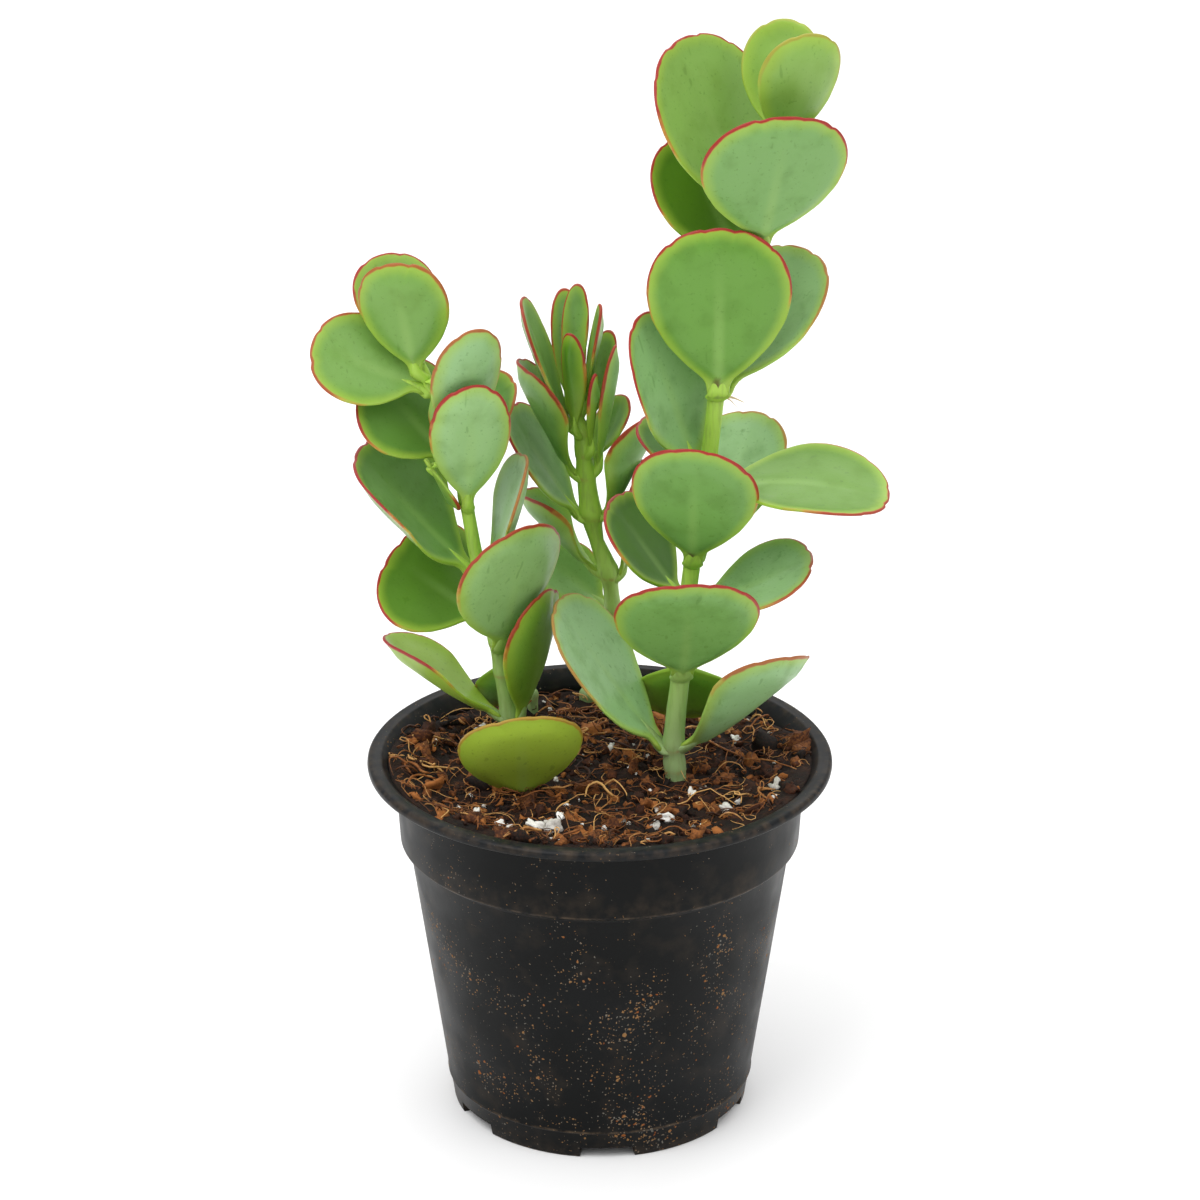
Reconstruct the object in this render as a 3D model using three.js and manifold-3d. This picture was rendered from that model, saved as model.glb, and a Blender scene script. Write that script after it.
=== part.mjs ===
// A silver dollar jade in a plastic nursery pot: three leafy shoots, a bare stem, a cut stub and a leaf in the soil.
// Millimetres. +Z is up, the pot stands on z = 0 and the plant's face is towards -Y. Every piece is placed from
// the pot's axis, and the whole is then moved so that the origin is on the floor under the middle of its box.
import * as THREE from "three";
import { mergeVertices } from "three/addons/utils/BufferGeometryUtils.js";
import Module from "manifold-3d";

const wasm = await Module();
wasm.setup();

const GAP = 0.35; // clear space left between neighbouring pieces

const POT = {
  height: 103,
  lipRadius: 63.5,
  lipInner: 59.6,
  lipDepth: 2.7,
  collarTop: 56.2,
  collarBottom: 54.8,
  collarHeight: 23.4,
  shoulder: 52.4,
  footLine: 42.5,
  footLineHeight: 8.4,
  footRadius: 41,
  footInner: 38.4,
  floorHeight: 5.2,
  wall: 1.4,
  segments: 48,
};

const NOTCH = { count: 6, width: 15, height: 3.2, first: -87 };
const DRAIN = { count: 6, radius: 4, circle: 27 };

const SOIL = { level: 97, bump: 1.1, rings: [9, 18, 27, 36, 45], segments: 40 };

const LEAF_THICKNESS = 1.9;

// The leaf's outline, base to tip: how far along, half width over the widest one, thickness over the full one.
const LEAF_RIBS = [
  [0.0, 0.14, 1.3],
  [0.08, 0.18, 1.25],
  [0.17, 0.44, 1.1],
  [0.29, 0.71, 1.0],
  [0.43, 0.91, 1.0],
  [0.59, 1.0, 0.9],
  [0.75, 0.95, 0.8],
  [0.88, 0.74, 0.65],
  [0.96, 0.45, 0.5],
];

// Round a leaf's section from its left edge: how far out from the midrib, and how far off the middle surface.
const LEAF_SECTION = [
  [1.0, 0.0],
  [0.5, 0.12],
  [0.0, -0.1],
  [-0.5, 0.12],
  [-1.0, 0.0],
  [-0.62, -0.7],
  [0.0, -1.0],
  [0.62, -0.7],
];

// Each leaf: name, height of its joint, azimuth (0 is +X, 90 is away), pitch, lift from base to tip, length,
// width, cup across, roll. Angles in degrees; a positive roll raises the leaf's left side.
const RIGHT_SHOOT = {
  name: "right",
  path: [
    [21, -3, 81],
    [21, -3, 95],
    [20, -3, 107],
    [22, -3, 129],
    [23.5, -3, 149],
    [25, -3, 162],
    [28, -3, 180],
    [30.5, -3, 206],
    [34, -2, 222],
    [38, -2, 238],
    [41, -2, 252],
    [43, -2, 266],
    [45, -2, 276],
  ],
  radii: [2.9, 2.8, 2.9, 2.5, 2.3, 2.3, 2.3, 2.2, 1.9, 1.8, 1.7, 1.5, 1.1],
  leaves: [
    ["1a", 107, 174, 54, 0, 49, 40, 12, -8],
    ["1b", 107, -7, 41, 10, 42, 36, 40, -28],
    ["2a", 129, -86, 58, 0, 41, 39, 10, 0],
    ["2b", 128, 84, -55, -20, 28, 28, 10, 0],
    ["3a", 151, 158, 52, 0, 31, 34, 10, 0],
    ["3b", 147, -2, 26, 0, 34, 30, 10, 12],
    ["4a", 162, -91, 67, 0, 40, 34, 10, -8],
    ["4b", 162, 60, 43, 0, 44, 30, 10, 0],
    ["5a", 182, -7, -2, -30, 46, 39, 10, 8],
    ["5b", 183, 150, 42, 0, 22, 22, 15, 0],
    ["6a", 187, 178, 71, 0, 45, 34, 40, -40],
    ["7a", 209, -91, 86, 0, 46, 38, 10, 0],
    ["7b", 209, 45, 48, 0, 43, 36, 10, 0],
    ["8a", 242, 141, 58, 0, 38, 33, 10, -20],
    ["9a", 250, -72, 66, 10, 41, 39, 10, -4],
    ["9b", 256, 155, 65, 0, 49, 42, 10, -16],
    ["10a", 275, -32, 73, 0, 32, 23, 15, -35],
    ["10b", 267, 0, 38, 0, 19, 16, 15, 40],
    ["11a", 276, 78, 68, 0, 31, 21, 15, 0],
  ],
};

const LEFT_SHOOT = {
  name: "left",
  path: [
    [-23, 10, 81],
    [-23, 10, 95],
    [-25, 10, 110],
    [-28, 10, 130],
    [-31, 10, 145],
    [-34, 10, 160],
    [-36, 10, 173],
    [-39, 10, 187],
    [-43, 10, 200],
    [-47, 10, 210],
    [-49, 10, 216],
  ],
  radii: [2.3, 2.2, 2.4, 2.0, 1.9, 1.9, 1.8, 1.7, 1.5, 1.3, 0.9],
  leaves: [
    ["1a", 110, 171, 33, 0, 38, 30, 30, 12],
    ["1b", 110, -20, 78, 0, 39, 26, 20, -10],
    ["2a", 132, -65, 70, 0, 41, 35, 10, 15],
    ["2b", 123, 95, -60, 0, 20, 14, 10, 0],
    ["3a", 139, 168, 33, 0, 30, 38, 10, -32],
    ["3b", 140, 48, 36, 0, 19, 14, 10, 0],
    ["4a", 153, 178, 48, 0, 45, 38, 35, -15],
    ["4b", 153, -5, 72, 0, 34, 28, 20, 14],
    ["5a", 173, -80, 71, 0, 40, 22, 10, 0],
    ["6a", 171, -160, 60, 0, 16, 11, 10, 0],
    ["7a", 185, 168, 48, 0, 30, 32, 10, -35],
    ["7b", 184, 38, 58, 0, 26, 22, 10, 0],
    ["8a", 188, -66, 69, 0, 41, 20, 15, 0],
    ["8b", 191, -120, 79, 0, 18, 13, 20, 0],
    ["9a", 205, -176, 25, 0, 32, 26, 10, -50],
    ["9b", 210, -142, 78, 0, 32, 25, 10, 40],
    ["10a", 214, 125, 58, 0, 28, 24, 10, -10],
  ],
};

const MIDDLE_SHOOT = {
  name: "middle",
  path: [
    [5, 45, 81],
    [5, 45, 95],
    [4.5, 45, 115],
    [3, 45, 134],
    [2, 45, 140],
    [-1, 45, 148],
    [-2.5, 45, 156],
    [-4, 45, 169],
    [-5, 45, 180],
    [-8, 45, 189],
    [-9, 45, 194],
  ],
  radii: [2.2, 2.2, 2.1, 2.2, 2.9, 2.1, 3.1, 2.4, 2.3, 1.6, 1.0],
  leaves: [
    ["0a", 128, 150, 30, 0, 24, 20, 10, -30],
    ["1a", 139, 175, 46, 0, 31, 22, 60, 10],
    ["1b", 138, -5, 80, 0, 34, 20, 20, 0],
    ["2a", 156, 180, 58, 0, 36, 28, 10, -15],
    ["2b", 156, -5, 64, 0, 34, 24, 50, -15],
    ["3a", 168, -170, 65, 0, 37, 24, 50, 0],
    ["3b", 169, -10, 82, 0, 37, 10, 30, 0],
    ["4a", 171, 42, 54, 0, 20, 12, 10, 0],
    ["4b", 175, -62, 82, 0, 24, 6, 10, 40],
    ["5a", 182, -165, 70, 0, 40, 20, 10, -20],
    ["5b", 181, -115, 82, 0, 30, 8, 40, 0],
    ["6a", 184, 106, 72, 0, 35, 10, 10, 0],
    ["6b", 181, 52, 68, 0, 27, 8, 10, 20],
    ["7a", 191, 70, 80, 0, 30, 8, 10, 0],
    ["7b", 187, 8, 80, 0, 30, 8, 10, 0],
  ],
};

const BARE_STEM = {
  name: "back",
  path: [
    [-19, 42, 81],
    [-19, 42, 95],
    [-19, 42, 104],
  ],
  radii: [1.7, 1.6, 1.4],
  leaves: [],
};

const STUB = {
  name: "stub",
  path: [
    [-3, 50, 88],
    [-3, 50, 95],
    [-3, 50, 101],
  ],
  radii: [2.8, 2.9, 2.9],
  leaves: [],
};

// The lone leaf rooted in the soil: its foot, the radius of its pocket, and its shape from azimuth to roll.
const SOIL_LEAF = { base: [-21, -9, 94], slot: 5.6, shape: [-90, 58, 0, 38, 34, 10, 8] };

const COLOURS = {
  pot: { color: 0x1b1c1e, roughness: 0.45, metalness: 0 },
  soil: { color: 0x5a3a24, roughness: 0.95, metalness: 0 },
  stem: { color: 0x8fb573, roughness: 0.5, metalness: 0 },
  leaf: { color: 0x7fae6b, roughness: 0.45, metalness: 0 },
};

const rad = THREE.MathUtils.degToRad;
const materials = {};
for (const [name, values] of Object.entries(COLOURS)) {
  materials[name] = new THREE.MeshStandardMaterial({ name, ...values });
}

// A closed three.js surface as a solid.
function solidFrom(geometry) {
  const bare = new THREE.BufferGeometry();
  bare.setAttribute("position", geometry.getAttribute("position"));
  bare.setIndex(geometry.index);
  const merged = mergeVertices(bare, 1e-4);
  const corners = merged.index.array;
  const kept = [];
  for (let i = 0; i < corners.length; i += 3) {
    const [a, b, c] = corners.slice(i, i + 3);
    if (a !== b && b !== c && c !== a) kept.push(a, b, c);
  }
  return new wasm.Manifold(
    new wasm.Mesh({
      numProp: 3,
      vertProperties: merged.getAttribute("position").array,
      triVerts: new Uint32Array(kept),
    }),
  );
}

// A solid back as three.js geometry.
function geometryFrom(solid) {
  const mesh = solid.getMesh();
  const geometry = new THREE.BufferGeometry();
  geometry.setAttribute("position", new THREE.BufferAttribute(mesh.vertProperties, 3));
  geometry.setIndex(new THREE.BufferAttribute(mesh.triVerts, 1));
  geometry.computeVertexNormals();
  return geometry;
}

// A closed skin over rings that turn anticlockwise about the way they run, with a point at each end.
function loft(rings, start, end) {
  const count = rings[0].length;
  const points = [start, ...rings.flat(), end];
  const last = points.length - 1;
  const at = (ring, k) => 1 + ring * count + (k % count);
  const faces = [];
  for (let k = 0; k < count; k++) {
    faces.push(0, at(0, k + 1), at(0, k));
    faces.push(last, at(rings.length - 1, k), at(rings.length - 1, k + 1));
  }
  for (let ring = 0; ring < rings.length - 1; ring++) {
    for (let k = 0; k < count; k++) {
      faces.push(at(ring, k), at(ring, k + 1), at(ring + 1, k + 1));
      faces.push(at(ring, k), at(ring + 1, k + 1), at(ring + 1, k));
    }
  }
  const geometry = new THREE.BufferGeometry();
  geometry.setFromPoints(points);
  geometry.setIndex(faces);
  return geometry;
}

// A closed solid of revolution from radius and height pairs, given anticlockwise.
function turned(profile, segments) {
  const points = [...profile, profile[0]].map(([r, z]) => new THREE.Vector2(r, z));
  return new THREE.LatheGeometry(points, segments).rotateX(Math.PI / 2);
}

// The inner radius of the pot's straight wall at a height.
function wallRadius(height) {
  const { footLine, footLineHeight, shoulder, collarHeight, wall } = POT;
  const shoulderHeight = POT.height - collarHeight - 2;
  const share = (height - footLineHeight) / (shoulderHeight - footLineHeight);
  return footLine + (shoulder - footLine) * share - wall;
}

function makePot() {
  const { height, lipRadius, lipInner, lipDepth, collarTop, collarBottom, collarHeight } = POT;
  const { shoulder, footLine, footLineHeight, footRadius, footInner, floorHeight, wall } = POT;
  const lipUnder = height - lipDepth;
  const collarFoot = height - collarHeight;
  const profile = [
    [footInner, 0],
    [footRadius, 0],
    [footLine - 0.3, footLineHeight - 0.5],
    [footLine + 0.2, footLineHeight],
    [footLine, footLineHeight + 0.6],
    [shoulder, collarFoot - 2],
    [shoulder + 0.5, collarFoot - 0.8],
    [collarBottom, collarFoot],
    [collarTop - 0.4, lipUnder - 2],
    [collarTop, lipUnder],
    [lipRadius - 0.3, lipUnder],
    [lipRadius, lipUnder + 0.3],
    [lipRadius, height - 0.4],
    [lipRadius - 0.4, height],
    [lipInner, height],
    [collarTop - wall, lipUnder - 1.6],
    [collarBottom - wall, collarFoot + 0.4],
    [shoulder - wall, collarFoot - 1.6],
    [wallRadius(floorHeight + 4), floorHeight + 4],
    [wallRadius(floorHeight + 4) - 1.4, floorHeight + wall],
    [0, floorHeight + wall],
    [0, floorHeight],
    [footInner - 0.6, floorHeight],
  ];
  let pot = solidFrom(turned(profile, POT.segments));
  const notchBlock = wasm.Manifold.cube([12, NOTCH.width, 2 * NOTCH.height], true);
  const notch = notchBlock.translate([footRadius - 1, 0, 0]);
  for (let i = 0; i < NOTCH.count; i++) {
    pot = pot.subtract(notch.rotate([0, 0, NOTCH.first + (360 / NOTCH.count) * i]));
  }
  const hole = wasm.Manifold.cylinder(3 * wall, DRAIN.radius, DRAIN.radius, 16, true);
  for (let i = 0; i < DRAIN.count; i++) {
    const angle = rad(NOTCH.first + (360 / DRAIN.count) * i);
    const spot = [DRAIN.circle * Math.cos(angle), DRAIN.circle * Math.sin(angle), floorHeight];
    pot = pot.subtract(hole.translate(spot));
  }
  return pot;
}

// Small rises and dips of the soil's top.
function soilBump(x, y) {
  const broad = Math.sin(x / 9 + 1) * Math.cos(y / 8);
  const fine = 0.5 * Math.sin(x / 3.7 - y / 4.3);
  return SOIL.bump * (broad + fine);
}

function makeSoil(pockets) {
  const { height, collarTop, collarBottom, collarHeight, shoulder, floorHeight, wall } = POT;
  const collarFoot = height - collarHeight;
  const top = SOIL.level;
  const floor = floorHeight + wall + GAP;
  const rim = collarTop - wall - 0.9;
  const profile = [
    [0, floor],
    [wallRadius(floorHeight + 4) - 1.8, floor],
    [wallRadius(floorHeight + 4) - GAP, floorHeight + 4],
    [shoulder - wall - GAP, collarFoot - 1.6],
    [collarBottom - wall - GAP, collarFoot + 0.6],
    [rim, top],
    ...SOIL.rings.toReversed().map((r) => [r, top]),
    [0, top],
  ];
  const surface = turned(profile, SOIL.segments);
  const points = surface.getAttribute("position");
  for (let i = 0; i < points.count; i++) {
    if (points.getZ(i) < top - 0.01) continue;
    points.setZ(i, top + soilBump(points.getX(i), points.getY(i)));
  }
  return pockets.reduce((soil, pocket) => soil.subtract(pocket), solidFrom(surface));
}

// A stem's centre line and its radius along it.
function stemLine(shoot) {
  const curve = new THREE.CatmullRomCurve3(shoot.path.map((p) => new THREE.Vector3(...p)));
  const heights = shoot.path.map((p) => p[2]);
  const radiusAt = (z) => {
    let i = 0;
    while (i < heights.length - 2 && heights[i + 1] < z) i++;
    const rise = heights[i + 1] - heights[i];
    const share = THREE.MathUtils.clamp((z - heights[i]) / rise, 0, 1);
    return THREE.MathUtils.lerp(shoot.radii[i], shoot.radii[i + 1], share);
  };
  const pointAt = (z) => {
    let low = 0;
    let high = 1;
    for (let i = 0; i < 30; i++) {
      const middle = (low + high) / 2;
      if (curve.getPoint(middle).z < z) low = middle;
      else high = middle;
    }
    return curve.getPoint(low);
  };
  return { curve, radiusAt, pointAt };
}

// A round stem along its centre line, grown by an extra radius.
function stemSolid(shoot, extra = 0) {
  const { curve, radiusAt } = stemLine(shoot);
  const steps = (shoot.path.length - 1) * 2;
  const sides = 10;
  const rings = [];
  for (let i = 0; i <= steps; i++) {
    const centre = curve.getPoint(i / steps);
    const radius = radiusAt(centre.z) + extra;
    const ring = [];
    for (let k = 0; k < sides; k++) {
      const angle = (2 * Math.PI * k) / sides;
      const spoke = new THREE.Vector3(Math.cos(angle), Math.sin(angle), 0);
      ring.push(spoke.multiplyScalar(radius).add(centre));
    }
    rings.push(ring);
  }
  const start = curve.getPoint(0).add(new THREE.Vector3(0, 0, -0.5 - extra));
  const end = curve.getPoint(1).add(new THREE.Vector3(0, 0, 0.6));
  return solidFrom(loft(rings, start, end));
}

// A fleshy leaf from its base point: ribs set along a gently bending midline.
function leafSolid(base, azimuth, pitch, lift, length, width, cup, roll) {
  const heading = new THREE.Vector3(Math.cos(rad(azimuth)), Math.sin(rad(azimuth)), 0);
  const sideways = new THREE.Vector3(-heading.y, heading.x, 0);
  const along = (angle) => heading.clone().multiplyScalar(Math.cos(angle)).setZ(Math.sin(angle));
  const pitchAt = (t) => rad(pitch + lift * (t - 0.5));
  const steps = 20;
  const midline = [base.clone()];
  for (let i = 0; i < steps; i++) {
    const step = along(pitchAt((i + 0.5) / steps)).multiplyScalar(length / steps);
    midline.push(midline[i].clone().add(step));
  }
  const middleAt = (t) => {
    const i = Math.min(Math.floor(t * steps), steps - 1);
    return midline[i].clone().lerp(midline[i + 1], t * steps - i);
  };
  const rings = LEAF_RIBS.map(([t, breadth, thickness]) => {
    const forward = along(pitchAt(t));
    const left = sideways.clone().applyAxisAngle(forward, rad(roll));
    const up = forward.clone().cross(left);
    return LEAF_SECTION.map(([out, off]) => {
      const half = (width / 2) * breadth;
      const bend = rad(cup) * Math.abs(out) * Math.min(1, t * 2);
      const side = out * half * Math.cos(bend / 2);
      const rise = Math.abs(out) * half * Math.sin(bend / 2);
      const depth = off * thickness * LEAF_THICKNESS;
      return middleAt(t)
        .addScaledVector(left, side - Math.sign(out) * depth * Math.sin(bend))
        .addScaledVector(up, rise + depth * Math.cos(bend));
    });
  });
  const start = base.clone().addScaledVector(along(pitchAt(0)), -0.3);
  return solidFrom(loft(rings, start, middleAt(1)));
}

// Where a leaf's stalk meets the stem's side.
function leafBase(line, height, azimuth, pitch) {
  const hang = Math.max(0, -Math.sin(rad(pitch)));
  const clear = line.radiusAt(height) + GAP + LEAF_THICKNESS * hang * 1.3;
  const outward = new THREE.Vector3(Math.cos(rad(azimuth)), Math.sin(rad(azimuth)), 0);
  return line.pointAt(height).addScaledVector(outward, clear + 0.4);
}

function addMesh(group, name, solid, material) {
  const mesh = new THREE.Mesh(geometryFrom(solid), material);
  mesh.name = name;
  group.add(mesh);
}

function addShoot(group, shoot) {
  addMesh(group, "stem_" + shoot.name, stemSolid(shoot), materials.stem);
  const line = stemLine(shoot);
  for (const [name, height, azimuth, pitch, ...shape] of shoot.leaves) {
    const base = leafBase(line, height, azimuth, pitch);
    const leaf = leafSolid(base, azimuth, pitch, ...shape);
    addMesh(group, "leaf_" + shoot.name + "_" + name, leaf, materials.leaf);
  }
}

const plant = new THREE.Group();
plant.name = "potted_silver_dollar_jade";
const shoots = [RIGHT_SHOOT, LEFT_SHOOT, MIDDLE_SHOOT, BARE_STEM, STUB];
shoots.forEach((shoot) => addShoot(plant, shoot));

const soilLeafBase = new THREE.Vector3(...SOIL_LEAF.base);
addMesh(plant, "leaf_soil", leafSolid(soilLeafBase, ...SOIL_LEAF.shape), materials.leaf);

const pockets = shoots.map((shoot) => stemSolid(shoot, GAP));
const slot = wasm.Manifold.cylinder(10, SOIL_LEAF.slot, SOIL_LEAF.slot, 16, true);
pockets.push(slot.translate(SOIL_LEAF.base));
addMesh(plant, "pot", makePot(), materials.pot);
addMesh(plant, "soil", makeSoil(pockets), materials.soil);

const middle = new THREE.Box3().setFromObject(plant).getCenter(new THREE.Vector3());
plant.position.set(-middle.x, -middle.y, 0);

export default plant;
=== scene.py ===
"""Looks for a potted silver dollar jade: red-edged leaves, pale stems, coir compost and a nursery pot."""

from __future__ import annotations

import logging
import math
from dataclasses import dataclass, field
from enum import Enum

import bmesh
import bpy
import numpy as np
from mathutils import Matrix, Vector, noise


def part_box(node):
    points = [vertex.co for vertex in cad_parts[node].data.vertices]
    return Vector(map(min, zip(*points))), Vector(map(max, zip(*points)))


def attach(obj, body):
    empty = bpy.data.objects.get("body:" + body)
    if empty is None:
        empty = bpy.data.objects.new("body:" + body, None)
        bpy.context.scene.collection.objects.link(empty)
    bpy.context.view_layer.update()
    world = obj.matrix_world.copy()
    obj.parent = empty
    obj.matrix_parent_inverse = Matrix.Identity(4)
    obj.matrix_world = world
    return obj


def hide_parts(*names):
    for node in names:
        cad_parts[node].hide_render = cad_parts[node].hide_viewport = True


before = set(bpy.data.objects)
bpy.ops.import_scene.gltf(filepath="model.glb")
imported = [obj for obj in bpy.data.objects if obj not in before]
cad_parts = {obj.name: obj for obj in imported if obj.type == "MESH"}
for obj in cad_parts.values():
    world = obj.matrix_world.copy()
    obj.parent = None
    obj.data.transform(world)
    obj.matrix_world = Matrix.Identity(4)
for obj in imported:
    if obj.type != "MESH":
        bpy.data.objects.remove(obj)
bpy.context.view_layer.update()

log = logging.getLogger("jade")
MM = 0.001
BODY = "root"
MIX_A, MIX_B, MIX_OUT = 6, 7, 2
Socket = bpy.types.NodeSocket


class Slot(Enum):
    """The record's material slots."""

    POT = "pot"
    SOIL = "soil"
    STEM = "stem"
    LEAF = "leaf"


# ---------------------------------------------------------------- helpers


def linear(hex_colour: str) -> tuple[float, float, float, float]:
    """Turns an sRGB hex colour to linear.

    Args:
        hex_colour: six hex digits after a hash sign.

    Returns:
        Red, green, blue and alpha.
    """
    parts = [int(hex_colour[i : i + 2], 16) / 255 for i in (1, 3, 5)]
    red, green, blue = (p / 12.92 if p <= 0.04045 else ((p + 0.055) / 1.055) ** 2.4 for p in parts)
    return red, green, blue, 1.0


def per_metre(size_mm: float) -> float:
    """A texture scale in repeats per metre for a pattern of that size."""
    return 1000.0 / size_mm


def add_node(
    tree: bpy.types.NodeTree, kind: str, inputs: dict | None = None, **settings: object
) -> bpy.types.Node:
    """Adds a node with its settings and links.

    Args:
        tree: the material's node tree.
        kind: the node's type.
        inputs: socket name or number to a value, or to the output that feeds it.
        settings: the node's own properties.

    Returns:
        The node.
    """
    node = tree.nodes.new(kind)
    for name, value in settings.items():
        setattr(node, name, value)
    for key, value in (inputs or {}).items():
        if isinstance(value, Socket):
            tree.links.new(value, node.inputs[key])
        else:
            node.inputs[key].default_value = value
    return node


def start_material(name: str) -> tuple[bpy.types.Material, bpy.types.NodeTree, bpy.types.Node]:
    """Starts a material.

    Args:
        name: the material's name.

    Returns:
        The material, its node tree and its principled shader.
    """
    material = bpy.data.materials.new(name)
    material.use_nodes = True
    tree = material.node_tree
    return material, tree, tree.nodes["Principled BSDF"]


def mesh_piece(
    name: str,
    points: np.ndarray,
    faces: list[tuple[int, ...]],
    material: bpy.types.Material,
    values: dict[str, np.ndarray] | None = None,
) -> bpy.types.Object:
    """Makes a smooth mesh object.

    Args:
        name: the object's name.
        points: one row of x, y, z for each vertex, in metres.
        faces: the vertex numbers of each face.
        material: what it is finished with.
        values: vertex attributes that the material reads.

    Returns:
        The object.
    """
    mesh = bpy.data.meshes.new(name)
    mesh.from_pydata(points.tolist(), [], faces)
    for attribute, numbers in (values or {}).items():
        layer = mesh.attributes.new(attribute, "FLOAT", "POINT")
        layer.data.foreach_set("value", np.asarray(numbers, np.float32))
    mesh.polygons.foreach_set("use_smooth", [True] * len(mesh.polygons))
    mesh.materials.append(material)
    piece = bpy.data.objects.new(name, mesh)
    bpy.context.scene.collection.objects.link(piece)
    return piece


def weld(piece: bpy.types.Object, distance: float) -> None:
    """Joins vertices that lie together and turns all faces outwards.

    Args:
        piece: the mesh object.
        distance: how near they lie, in metres.
    """
    work = bmesh.new()
    work.from_mesh(piece.data)
    bmesh.ops.remove_doubles(work, verts=work.verts, dist=distance)
    bmesh.ops.recalc_face_normals(work, faces=work.faces)
    work.to_mesh(piece.data)
    work.free()


def settle(piece: bpy.types.Object, slot: Slot, *nodes: str) -> bpy.types.Object:
    """Rides a piece on the plant's body and hides the CAD nodes that it replaces.

    Args:
        piece: the finished object.
        slot: not used.
        nodes: the CAD nodes that it replaces.

    Returns:
        The same object.
    """
    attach(piece, BODY)
    if nodes:
        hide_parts(*nodes)
    log.info("%s: %d faces", piece.name, len(piece.data.polygons))
    return piece


def unit(vector: np.ndarray) -> np.ndarray:
    """The vector, or each row of it, at length one."""
    return vector / np.maximum(np.linalg.norm(vector, axis=-1, keepdims=True), 1e-12)


def ramp(value: np.ndarray, low: float, high: float) -> np.ndarray:
    """A smooth step from 0 at low to 1 at high."""
    share = np.clip((np.asarray(value, float) - low) / (high - low), 0, 1)
    return share * share * (3 - 2 * share)


def tube_faces(rings: int, sides: int, first: int = 0) -> list[tuple[int, ...]]:
    """Faces of a closed tube.

    Args:
        rings: how many rings it has.
        sides: points in each ring.
        first: the number of its first vertex.

    Returns:
        The faces, with one at each end.
    """
    faces: list[tuple[int, ...]] = []
    for ring in range(rings - 1):
        low, high = first + ring * sides, first + (ring + 1) * sides
        for k in range(sides):
            after = (k + 1) % sides
            faces.append((low + k, low + after, high + after, high + k))
    faces.append(tuple(first + k for k in reversed(range(sides))))
    last = first + (rings - 1) * sides
    faces.append(tuple(last + k for k in range(sides)))
    return faces


def welded(node: str) -> tuple[np.ndarray, list[set[int]]]:
    """A CAD node's corner points and their neighbours.

    Args:
        node: the node's name.

    Returns:
        The points in metres, and for each the numbers of the points it shares an edge with.
    """
    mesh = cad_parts[node].data
    raw = np.array([v.co for v in mesh.vertices], float)
    keys = np.round(raw / (2e-6)).astype(np.int64)
    _, first, index = np.unique(keys, axis=0, return_index=True, return_inverse=True)
    index = index.reshape(-1)
    near: list[set[int]] = [set() for _ in first]
    for polygon in mesh.polygons:
        corners = [int(index[v]) for v in polygon.vertices]
        for a, b in zip(corners, corners[1:] + corners[:1]):
            if a != b:
                near[a].add(b)
                near[b].add(a)
    return raw[first], near


# ---------------------------------------------------------------- finishes


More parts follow.
